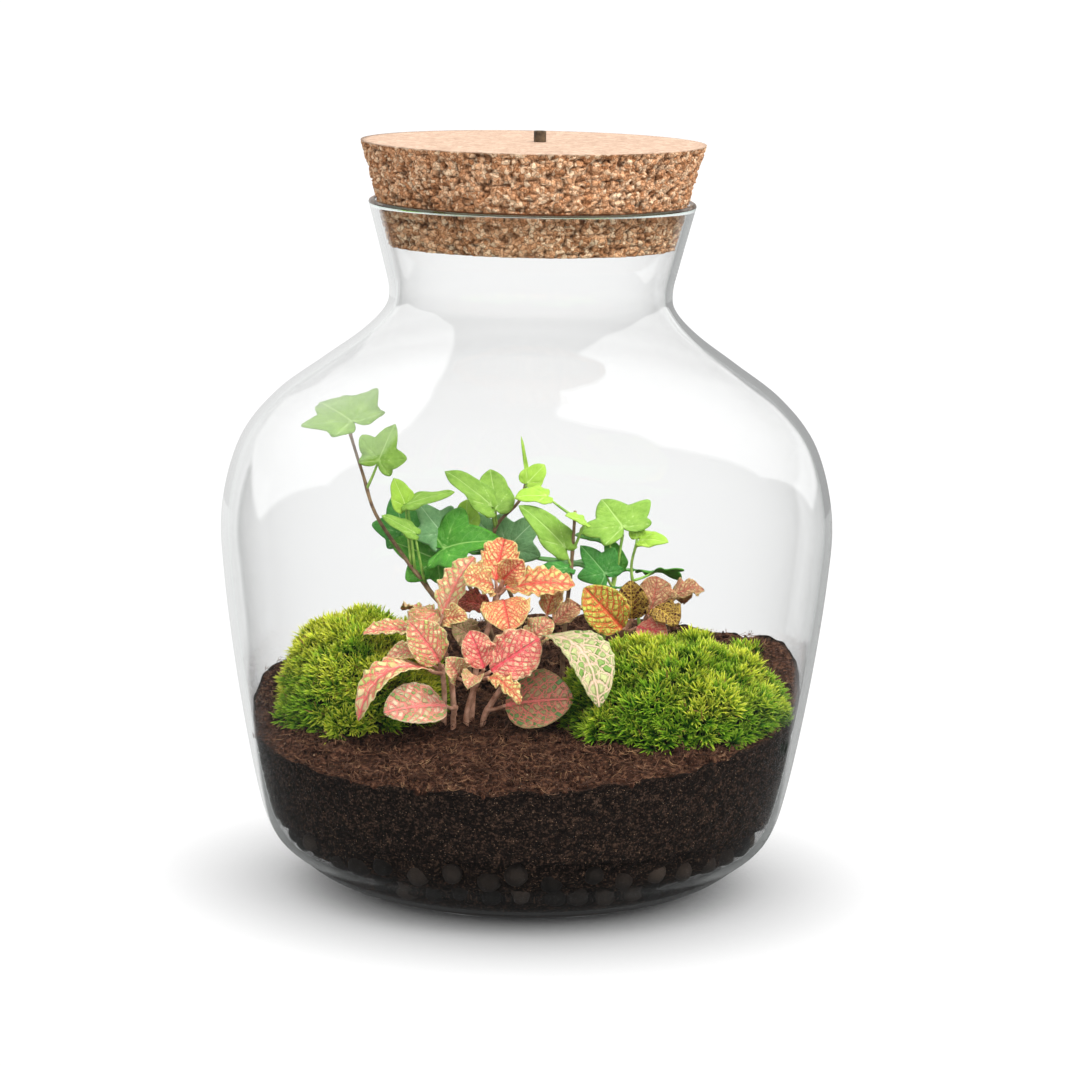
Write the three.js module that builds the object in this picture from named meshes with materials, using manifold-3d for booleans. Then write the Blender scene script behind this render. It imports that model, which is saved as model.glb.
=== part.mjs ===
// A bottle garden: a corked glass jar that holds clay pebbles, potting soil, two moss cushions,
// two nerve plants and an ivy. Millimetres, +Z up, origin in the middle of the jar's foot.
import * as THREE from "three";
import { mergeVertices } from "three/addons/utils/BufferGeometryUtils.js";
import Module from "manifold-3d";

const wasm = await Module();
wasm.setup();

// Driving dimensions
const CLEARANCE = 0.3; // between neighbouring pieces
const SIDES = 32; // facets round the jar and all that touches its wall
const GLASS_WALL = 2.8;
const BASE_EXTRA = 2.4; // the foot is thicker than the wall by this much
const BASE_EXTRA_FADE = 7; // height over which the extra thickness fades
const FOOT_RADIUS = 66;
const FOOT_RING_INNER = 57;
const PUSH_UP = 1.3; // how far the middle of the foot is pushed up
const RIM_TOP = 281.6;
// Outside of the jar from the foot to just under the rim, as radius and height.
const JAR_OUTSIDE = [
  [FOOT_RADIUS, 0],
  [81, 5],
  [92, 12],
  [103, 22.5],
  [109.8, 43],
  [117.9, 86],
  [123.6, 129],
  [124.6, 156],
  [117.8, 182.7],
  [104, 201],
  [85.2, 215.2],
  [69, 227],
  [59.4, 237],
  [57.6, 245],
  [60.2, 257],
  [66.3, RIM_TOP - 1.4],
];

const CORK_TOP = 305.1;
const CORK_BOTTOM = 264;
const CORK_TOP_RADIUS = 70;
const CORK_BOTTOM_RADIUS = 58.6;
const CORK_CHAMFER = 1;
const BUNG_RADIUS = 2.5;
const BUNG_ACROSS = 2.5; // the bung stands this far to the right of the lid's middle
const BUNG_ABOVE = 4.5;
const BUNG_BELOW = 14;

const PEBBLE_RADIUS = 6.4;
const PEBBLE_ROWS = [
  { height: 14.5, count: 24 },
  { height: 24.5, count: 28 },
];
const SOIL_FLOOR = 32.5; // the soil lies on the pebbles
const PEBBLE_TOP = SOIL_FLOOR - CLEARANCE;
const STEM_DEPTH = 12; // how far each stem stands in the soil

// Colours of the pieces
const GLASS = new THREE.MeshStandardMaterial({ color: 0xe9f2ef, roughness: 0.02, metalness: 0 });
const CORK = new THREE.MeshStandardMaterial({ color: 0xc79a6e, roughness: 0.9, metalness: 0 });
const BUNG = new THREE.MeshStandardMaterial({ color: 0x4a3a2a, roughness: 0.8, metalness: 0 });
const CLAY = new THREE.MeshStandardMaterial({ color: 0x4a3530, roughness: 0.9, metalness: 0 });
const SOIL = new THREE.MeshStandardMaterial({ color: 0x4a3226, roughness: 1, metalness: 0 });
const MOSS = new THREE.MeshStandardMaterial({ color: 0x8fae2c, roughness: 1, metalness: 0 });
const NERVE_LEAF = new THREE.MeshStandardMaterial({ color: 0xe8806a, roughness: 0.6, metalness: 0 });
const IVY_LEAF = new THREE.MeshStandardMaterial({ color: 0x4c9a3f, roughness: 0.5, metalness: 0 });

const vec = (p) => new THREE.Vector3(p[0], p[1], p[2]);

// Closed solids and back
function solidOf(geometry) {
  const bare = geometry.clone();
  bare.deleteAttribute("normal");
  bare.deleteAttribute("uv");
  const merged = mergeVertices(bare, 1e-3);
  const triVerts = [];
  for (let i = 0; i < merged.index.count; i += 3) {
    const [a, b, c] = [0, 1, 2].map((k) => merged.index.getX(i + k));
    if (a !== b && b !== c && c !== a) triVerts.push(a, b, c);
  }
  const build = (indices) =>
    new wasm.Manifold(
      new wasm.Mesh({
        numProp: 3,
        vertProperties: merged.attributes.position.array,
        triVerts: new Uint32Array(indices),
      }),
    );
  const solid = build(triVerts);
  return solid.volume() > 0 ? solid : build(triVerts.reverse());
}

const largestBody = (solid) =>
  solid.decompose().reduce((a, b) => (b.volume() > a.volume() ? b : a));

const fuse = (solids) => solids.reduce((a, b) => a.add(b));

function meshOf(name, solid, material) {
  const data = largestBody(solid).getMesh();
  const geometry = new THREE.BufferGeometry();
  geometry.setAttribute("position", new THREE.BufferAttribute(data.vertProperties, 3));
  geometry.setIndex(new THREE.BufferAttribute(data.triVerts, 1));
  geometry.computeVertexNormals();
  const mesh = new THREE.Mesh(geometry, material);
  mesh.name = name;
  return mesh;
}

// A solid of revolution about Z from points of radius and height.
function turned(points, sides = SIDES) {
  const profile = points.map(([r, z]) => new THREE.Vector2(r, z));
  return new THREE.LatheGeometry(profile, sides).rotateX(Math.PI / 2);
}

// A round bar along a curve.
function bar(curve, radius, sides, steps) {
  const section = new THREE.Shape();
  for (let k = 0; k < sides; k++) {
    const turn = (2 * Math.PI * k) / sides;
    const corner = [radius * Math.cos(turn), radius * Math.sin(turn)];
    if (k === 0) section.moveTo(...corner);
    else section.lineTo(...corner);
  }
  section.closePath();
  return solidOf(
    new THREE.ExtrudeGeometry(section, { steps, extrudePath: curve, bevelEnabled: false }),
  );
}

// Glass jar
const outsideCurve = new THREE.SplineCurve(JAR_OUTSIDE.map(([r, z]) => new THREE.Vector2(r, z)));
const wallAt = (z) => GLASS_WALL + BASE_EXTRA * Math.exp(-z / BASE_EXTRA_FADE);

// The inside follows the outside at the wall's thickness, measured square to it.
function insidePoint(share) {
  const outer = outsideCurve.getPoint(share);
  const along = outsideCurve.getTangent(share);
  const wall = wallAt(outer.y);
  return [outer.x - along.y * wall, outer.y + along.x * wall];
}

const INSIDE_STEPS = 12;
const jarInside = Array.from({ length: INSIDE_STEPS + 1 }, (_, k) => insidePoint(k / INSIDE_STEPS));

// Radius of the jar's inside at a height.
function insideRadius(z) {
  for (let k = 1; k < jarInside.length; k++) {
    const [[r0, z0], [r1, z1]] = [jarInside[k - 1], jarInside[k]];
    if (z <= z1) return r0 + ((r1 - r0) * Math.max(z - z0, 0)) / (z1 - z0);
  }
  return jarInside.at(-1)[0];
}

const OUTSIDE_STEPS = 15;
const jarOutside = Array.from({ length: OUTSIDE_STEPS + 1 }, (_, k) => {
  const p = outsideCurve.getPoint(k / OUTSIDE_STEPS);
  return [p.x, p.y];
});
const floorHeight = jarInside[0][1];
const [rimOuter] = jarOutside.at(-1);
const [rimInner] = jarInside.at(-1);
const glassJar = turned([
  [0, PUSH_UP],
  [FOOT_RING_INNER - 5, PUSH_UP],
  [FOOT_RING_INNER, 0],
  ...jarOutside,
  [rimOuter - 0.7, RIM_TOP],
  [rimInner + 0.7, RIM_TOP],
  ...jarInside.slice().reverse(),
  [0, floorHeight + 1],
]);

// Cork lid, wedged into the neck, with a blind hole for the bung
const corkSlope = (CORK_TOP_RADIUS - CORK_BOTTOM_RADIUS) / (CORK_TOP - CORK_BOTTOM);
const corkBody = turned([
  [0, CORK_BOTTOM],
  [CORK_BOTTOM_RADIUS - CORK_CHAMFER, CORK_BOTTOM],
  [CORK_BOTTOM_RADIUS + CORK_CHAMFER * corkSlope, CORK_BOTTOM + CORK_CHAMFER],
  [CORK_TOP_RADIUS - CORK_CHAMFER * corkSlope, CORK_TOP - CORK_CHAMFER],
  [CORK_TOP_RADIUS - CORK_CHAMFER, CORK_TOP],
  [0, CORK_TOP],
]);

// An upright round peg between two heights at the bung's place.
function bungPeg(radius, bottom, top) {
  const peg = new THREE.CylinderGeometry(radius, radius, top - bottom, 12).rotateX(Math.PI / 2);
  return solidOf(peg.translate(BUNG_ACROSS, 0, (top + bottom) / 2));
}
const bungFoot = CORK_TOP - BUNG_BELOW;
const bungHole = bungPeg(BUNG_RADIUS + CLEARANCE, bungFoot - CLEARANCE, CORK_TOP + 1);
const corkLid = solidOf(corkBody).subtract(bungHole);
const lidBung = bungPeg(BUNG_RADIUS, bungFoot, CORK_TOP + BUNG_ABOVE);

// Height of the soil: it slopes up to the back and right, with low mounds and small waves.
function soilHeight(x, y) {
  const mound = (cx, cy, reach, rise) =>
    rise * Math.exp(-((x - cx) ** 2 + (y - cy) ** 2) / (reach * reach));
  const slope = 75 + 0.12 * y + 0.055 * x;
  const mounds = mound(105, 28, 40, 9) + mound(-108, 35, 42, 7) + mound(-5, -30, 45, 2);
  const waves = 1.0 * Math.sin(0.21 * x + 1.3) * Math.cos(0.17 * y - 0.4);
  return slope + mounds + waves + 0.6 * Math.sin(0.33 * x + 0.27 * y);
}

// Clay pebbles: rows of rough balls against the glass, grown into one slab that fills the middle.
const scatter = (k) => {
  const s = Math.sin(12.9898 * k + 4.1) * 43758.5453;
  return s - Math.floor(s);
};

// How far out a ball of this radius can sit at a height without touching the glass.
const FACET_ROOM = 0.5; // the flat facets of the glass stand this much inside its circle
function seatRadius(z, radius) {
  const wall = jarInside.slice(1).map(([r, h], k) => {
    const [startRadius, startHeight] = jarInside[k];
    const start = new THREE.Vector3(startRadius, startHeight, 0);
    return new THREE.Line3(start, new THREE.Vector3(r, h, 0));
  });
  const nearest = new THREE.Vector3();
  const clear = (at) =>
    wall.every((piece) => {
      piece.closestPointToPoint(at, true, nearest);
      return nearest.distanceTo(at) > radius + CLEARANCE + FACET_ROOM;
    });
  const centre = new THREE.Vector3(insideRadius(z) - radius, z, 0);
  while (!clear(centre)) centre.x -= 0.2;
  return centre.x;
}

function pebbles() {
  const balls = PEBBLE_ROWS.flatMap(({ height, count }, row) =>
    Array.from({ length: count }, (_, k) => {
      const random = scatter(k + 50 * row);
      const radius = PEBBLE_RADIUS * (0.88 + 0.12 * random);
      const z = height + 2.5 * (scatter(k + 50 * row + 9) - 0.5);
      const seat = seatRadius(z, PEBBLE_RADIUS);
      const turn = (2 * Math.PI * (k + 0.5 * row)) / count;
      const ball = new THREE.IcosahedronGeometry(radius, 0)
        .rotateX(5 * random)
        .rotateZ(9 * random)
        .translate(seat * Math.cos(turn), seat * Math.sin(turn), z);
      return solidOf(ball);
    }),
  );
  const [lowSeat, highSeat] = PEBBLE_ROWS.map(({ height }) => seatRadius(height, PEBBLE_RADIUS));
  const core = turned([
    [0, floorHeight + 1 + CLEARANCE],
    [FOOT_RADIUS - 4, floorHeight + 1 + CLEARANCE],
    [lowSeat, PEBBLE_ROWS[0].height],
    [highSeat, PEBBLE_TOP],
    [0, PEBBLE_TOP],
  ]);
  return fuse([solidOf(core), ...balls]);
}
const clayPebbles = pebbles();

// Soil: its wall follows the glass, its top the height formula.
const WALL_SHARES = [0, 0.12, 0.3, 0.6, 1];
const TOP_SHARES = [0.9, 0.76, 0.61, 0.45, 0.3, 0.14, 0];
function soilBody(lift) {
  const rows = [[0, 0], ...WALL_SHARES.map((s) => [1, s]), ...TOP_SHARES.map((s) => [s, 1])];
  // The template is a stack of rings; each vertex then goes to its place by row number.
  const template = turned(rows.map(([r], k) => [r, k]));
  const position = template.attributes.position;
  for (let i = 0; i < position.count; i++) {
    const row = Math.round(position.getZ(i));
    const turn = Math.atan2(position.getY(i), position.getX(i));
    const [reach, share] = rows[row];
    const edge = insideRadius(70) - CLEARANCE;
    const rimHeight = soilHeight(edge * Math.cos(turn), edge * Math.sin(turn)) + lift;
    const onWall = row > 0 && row <= WALL_SHARES.length;
    const wallHeight = SOIL_FLOOR + share * (rimHeight - SOIL_FLOOR);
    const radius = onWall
      ? insideRadius(wallHeight) - CLEARANCE
      : reach * (insideRadius(rimHeight) - CLEARANCE);
    const x = radius * Math.cos(turn);
    const y = radius * Math.sin(turn);
    const z = row === 0 ? SOIL_FLOOR : onWall ? wallHeight : soilHeight(x, y) + lift;
    position.setXYZ(i, x, y, z);
  }
  return solidOf(template);
}

// Moss cushions: domes with tufts as relief, cut to the soil they lie on.
function mossCushion({ centre, reach, rise, sink, tufts }) {
  const dome = new THREE.SphereGeometry(1, 28, 16).rotateX(Math.PI / 2);
  const position = dome.attributes.position;
  for (let i = 0; i < position.count; i++) {
    const p = new THREE.Vector3().fromBufferAttribute(position, i);
    const relief =
      Math.sin(tufts * p.x + 0.6) * Math.sin(tufts * p.y + 1.1) + Math.sin(tufts * (p.z - p.x));
    const swell = 1 + 0.035 * relief;
    const ground = soilHeight(centre[0], centre[1]) - sink;
    position.setXYZ(
      i,
      centre[0] + reach[0] * swell * p.x,
      centre[1] + reach[1] * swell * p.y,
      ground + (rise + sink) * swell * p.z,
    );
  }
  return solidOf(dome).subtract(soilBody(CLEARANCE + 0.05));
}

const MOSS_LEFT = { centre: [-66, -5], reach: [34, 33], rise: 38, sink: 6, tufts: 9.3 };
const MOSS_RIGHT = { centre: [60, -31], reach: [47, 35], rise: 31, sink: 6, tufts: 10.7 };

const BLADE = 0.7; // thickness of every leaf
const STALK = 0.8; // half the width of a leaf's stalk

// A thin closed sheet from its middle surface. Each corner has a place and the step from there to
// the upper face; faces are triangles of corner numbers. Both faces are split alike, and a rim
// closes the outline.
function closedSheet(corners, faces) {
  const count = corners.length;
  const places = [1, -1].flatMap((side) =>
    corners.map(({ place, step }) => place.clone().addScaledVector(step, side)),
  );
  const index = faces.flatMap(([a, b, c]) => [a, b, c, a + count, c + count, b + count]);
  const outline = new Map();
  for (const [a, b, c] of faces)
    for (const [p, q] of [[a, b], [b, c], [c, a]])
      if (!outline.delete(`${q} ${p}`)) outline.set(`${p} ${q}`, [p, q]);
  for (const [p, q] of outline.values())
    index.push(q, p, p + count, q, p + count, q + count);
  const geometry = new THREE.BufferGeometry().setFromPoints(places);
  geometry.setIndex(index);
  return solidOf(geometry);
}

// The axes of a leaf: along its midrib, across it, and out of its upper face.
function leafAxes(heart, tip, face) {
  const along = tip.clone().sub(heart).normalize();
  const across = new THREE.Vector3().crossVectors(vec(face), along).normalize();
  const out = new THREE.Vector3().crossVectors(along, across);
  return { along, across, out };
}

// Left and right corners of a flat stalk that runs from root to heart, at one place on it.
function stalkCorners(place, root, heart, { along, across }) {
  const run = heart.clone().sub(root).normalize();
  const wide = Math.abs(across.dot(run)) < 0.9 ? across : along;
  const side = wide.clone().addScaledVector(run, -wide.dot(run)).normalize();
  const step = new THREE.Vector3().crossVectors(run, side).multiplyScalar(STALK);
  return [-STALK, STALK].map((s) => ({ place: place.clone().addScaledVector(side, s), step }));
}

// Rows of a nerve leaf: share of the blade's length and share of its full half width.
const NERVE_ROWS = [
  [0.12, 0.62],
  [0.3, 0.94],
  [0.5, 1],
  [0.68, 0.86],
  [0.85, 0.52],
  [1, 0.07],
];

// An oval nerve leaf with a waved edge: a stalk from root to heart, then a blade that arches.
function nerveLeaf(root, { heart, tip, width, face, arch = 2, cup = 0.24, wave = 0.9 }) {
  const [start, end] = [vec(heart), vec(tip)];
  const axes = leafAxes(start, end, face);
  const step = axes.out.clone().multiplyScalar(BLADE / 2);
  const corners = [
    ...stalkCorners(root, root, start, axes),
    ...stalkCorners(start, root, start, axes),
  ];
  NERVE_ROWS.forEach(([share, breadth], row) => {
    const half = (width / 2) * breadth;
    const last = row === NERVE_ROWS.length - 1;
    const edge = cup * half + (last ? 0 : wave * (row % 2 ? 1 : -1));
    for (const v of [-1, 0, 1]) {
      const place = start
        .clone()
        .lerp(end, share)
        .addScaledVector(axes.across, half * v)
        .addScaledVector(axes.out, 4 * arch * share * (1 - share) + Math.abs(v) * edge);
      corners.push({ place, step });
    }
  });
  const faces = [[0, 1, 3], [0, 3, 2], [2, 5, 4], [2, 3, 5], [3, 6, 5]];
  for (let a = 4; a < corners.length - 3; a += 3)
    for (const k of [a, a + 1]) faces.push([k, k + 1, k + 4], [k, k + 4, k + 3]);
  return closedSheet(corners, faces);
}

// Half outline of an ivy leaf as degrees from the middle lobe and share of that lobe's length.
const IVY_OUTLINE = [
  [0, 1],
  [17, 0.74],
  [31, 0.56],
  [44, 0.66],
  [58, 0.78],
  [76, 0.56],
  [92, 0.42],
  [118, 0.5],
  [150, 0.26],
];
// Young leaves have shallow lobes.
const IVY_YOUNG_OUTLINE = [
  [0, 1],
  [14, 0.86],
  [30, 0.62],
  [52, 0.5],
  [80, 0.4],
  [125, 0.26],
];
const FAN_CENTRE = 0.16; // share of the middle lobe's length

// An ivy leaf: a lobed blade whose facets fan out from near the heart, folded up along the midrib
// and drooping at its lobes, with a stalk from root to heart that sags a little.
function ivyLeaf(root, { heart, tip, face, young = false, broad = 1, fold = 0.18, droop = 0.2 }) {
  const [start, end] = [vec(heart), vec(tip)];
  const axes = leafAxes(start, end, face);
  const length = start.distanceTo(end);
  const half = young ? IVY_YOUNG_OUTLINE : IVY_OUTLINE;
  const other = half.slice(1).map(([turn, reach]) => [-turn, reach]);
  const step = axes.out.clone().multiplyScalar(BLADE / 2);
  const blade = [[0, FAN_CENTRE], ...other.reverse(), ...half].map(([turn, reach]) => {
    const x = length * reach * Math.cos((turn * Math.PI) / 180);
    const y = length * reach * broad * Math.sin((turn * Math.PI) / 180);
    const lift = fold * Math.abs(y) - droop * length * reach * reach;
    const place = start
      .clone()
      .addScaledVector(axes.along, x)
      .addScaledVector(axes.across, y)
      .addScaledVector(axes.out, lift);
    return { place, step };
  });
  const middle = root.clone().lerp(start, 0.55).add(new THREE.Vector3(0, 0, -1.2));
  const corners = [
    ...blade,
    ...stalkCorners(start, middle, start, axes),
    ...stalkCorners(middle, root, start, axes),
    ...stalkCorners(root, root, middle, axes),
  ];
  const last = blade.length - 1;
  const stalk = last + 1; // its left corners are even steps on from here, its right ones odd
  const faces = [];
  for (let k = 1; k < last; k++) faces.push([0, k, k + 1]);
  faces.push([0, last, stalk + 1], [0, stalk + 1, stalk], [0, stalk, 1]);
  for (const k of [stalk, stalk + 2])
    faces.push([k, k + 1, k + 3], [k, k + 3, k + 2]);
  return closedSheet(corners, faces);
}

// Leafy stems. route runs from the soil up; each leaf leaves it at a share of its length.
// heart is where the blade meets its stalk, tip its far end, face the way its upper side looks.
const NERVE_STEMS = [
  {
    name: "nerve_stem_1",
    thick: 1.5,
    route: [[-21, -23], [-19, -23, 95], [-14, -21, 112], [-11, -20, 126]],
    leaves: [
      { at: 0.97, heart: [-12, -22, 129], tip: [-9, -9, 144], width: 15, face: [0, -0.8, 0.7] },
      { at: 0.95, heart: [-13, -25, 126], tip: [-25, -35, 133], width: 15, face: [-0.3, -0.8, 0.7] },
      { at: 0.97, heart: [-9, -25, 130], tip: [-1, -31, 139], width: 12, face: [0.3, -0.9, 0.5] },
      { at: 0.95, heart: [-8, -22, 126], tip: [20, -24, 128], width: 15, face: [0, -0.6, 0.8] },
      { at: 0.9, heart: [-9, -27, 122], tip: [-6, -41, 112], width: 20, face: [0, -0.8, 0.6], arch: 3 },
      { at: 0.84, heart: [-14, -19, 117], tip: [-30, -14, 118], width: 12, face: [0, -0.6, 0.8] },
      { at: 0.66, heart: [-20, -29, 106], tip: [-29, -34, 113], width: 12, face: [-0.3, -0.8, 0.5] },
      { at: 0.9, heart: [-9, -15, 126], tip: [-4, 2, 128], width: 14, face: [0, 0.4, 0.9], arch: 3 },
    ],
  },
  {
    name: "nerve_stem_2",
    thick: 1.4,
    route: [[-28, -23], [-30, -24, 92], [-33, -28, 104], [-34, -29, 114]],
    leaves: [
      { at: 0.97, heart: [-33, -28, 116], tip: [-21, -19, 138], width: 14, face: [-0.6, -0.8, 0.3] },
      { at: 0.95, heart: [-36, -31, 117], tip: [-44, -37, 109], width: 15, face: [-0.4, -0.7, 0.6] },
      { at: 0.93, heart: [-33, -35, 114], tip: [-23, -42, 118], width: 10, face: [0, -0.8, 0.7] },
      { at: 0.72, heart: [-42, -28, 108], tip: [-65, -32, 108], width: 13, face: [0, -0.25, 1] },
      { at: 0.8, heart: [-36, -21, 110], tip: [-50, -8, 114], width: 15, face: [0, 0.2, 1], arch: 3 },
    ],
  },
  {
    name: "nerve_stem_3",
    thick: 1.4,
    route: [[-32, -30], [-32, -33, 86], [-33, -37, 97]],
    leaves: [
      { at: 0.96, heart: [-34, -41, 99], tip: [-46, -46, 116], width: 17, face: [0.4, -0.9, 0.2] },
      { at: 0.92, heart: [-38, -38, 99], tip: [-55, -45, 101], width: 11, face: [0, -0.5, 0.9], arch: 4 },
      { at: 0.9, heart: [-38, -46, 97], tip: [-65, -61, 79], width: 15, face: [-0.3, -0.4, 0.9], arch: 11 },
    ],
  },
  {
    name: "nerve_stem_4",
    thick: 1.5,
    route: [[-23, -33], [-21, -36, 84], [-17, -43, 95]],
    leaves: [
      { at: 0.85, heart: [-27, -46, 94], tip: [-31, -53, 103], width: 11, face: [0, -0.8, 0.6], cup: 0.5 },
      { at: 0.96, heart: [-16, -46, 98], tip: [-22, -46, 113], width: 13, face: [0.2, -1, 0.1] },
      { at: 0.97, heart: [-13, -46, 97], tip: [6, -44, 110], width: 20, face: [-0.1, -1, 0.2] },
      { at: 0.95, heart: [-14, -50, 95], tip: [-1, -60, 87], width: 8, face: [0.2, -0.6, 0.8], arch: 3 },
      { at: 0.93, heart: [-19, -49, 95], tip: [-22, -58, 92], width: 9, face: [0, -0.5, 0.9], cup: 0.5 },
    ],
  },
  {
    name: "nerve_stem_5",
    thick: 1.5,
    route: [[-28, -36], [-28, -38, 77], [-27, -40, 81]],
    leaves: [
      { at: 0.95, heart: [-31, -45, 82], tip: [-55, -60, 82], width: 20, face: [-0.1, -0.75, 0.65] },
    ],
  },
  {
    name: "nerve_stem_6",
    thick: 1.4,
    route: [[-16, -29], [-13, -30, 80], [-4, -30, 94], [3, -30, 106]],
    leaves: [
      { at: 0.35, heart: [-7, -37, 81], tip: [20, -46, 86], width: 25, face: [-0.2, -0.85, 0.5] },
      { at: 0.97, heart: [8, -34, 109], tip: [30, -60, 86], width: 24, face: [0.5, -0.6, 0.75], arch: 11 },
      { at: 0.7, heart: [1, -27, 103], tip: [11, -24, 114], width: 12, face: [-0.2, -0.8, 0.5] },
      { at: 0.95, heart: [9, -19, 115], tip: [14, -14, 126], width: 10, face: [-0.3, -0.8, 0.5] },
      { at: 0.9, heart: [12, -22, 112], tip: [22, -18, 119], width: 10, face: [0, -0.7, 0.7] },
    ],
  },
  {
    name: "nerve_stem_7",
    thick: 1.4,
    route: [[36, 12], [38, 8, 96], [42, -2, 108]],
    leaves: [
      { at: 0.95, heart: [40, -9, 108], tip: [24, -18, 126], width: 18, face: [-0.2, -0.9, 0.4] },
      { at: 0.96, heart: [44, -3, 111], tip: [43, -6, 127], width: 14, face: [0, -0.9, 0.1], cup: 0.5 },
      { at: 0.9, heart: [46, -7, 108], tip: [58, -14, 105], width: 12, face: [0.1, -0.7, 0.7] },
      { at: 0.85, heart: [35, 4, 107], tip: [20, 8, 112], width: 14, face: [0, 0.1, 1], arch: 3 },
    ],
  },
  {
    name: "nerve_stem_8",
    thick: 1.4,
    route: [[47, 13], [49, 9, 100], [51, 3, 112], [57, 4, 117]],
    leaves: [
      { at: 0.8, heart: [51, 0, 112], tip: [54, 5, 127], width: 16, face: [0.3, -0.9, 0.3], cup: 0.45 },
      { at: 0.97, heart: [60, 4, 118], tip: [74, 8, 121], width: 10, face: [0, -0.5, 0.9], arch: 3 },
      { at: 0.7, heart: [53, -6, 116], tip: [62, -16, 111], width: 13, face: [0.2, -0.8, 0.6] },
      { at: 0.85, heart: [59, 9, 116], tip: [66, 22, 113], width: 14, face: [0.1, 0.3, 1], arch: 3 },
    ],
  },
];

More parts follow.
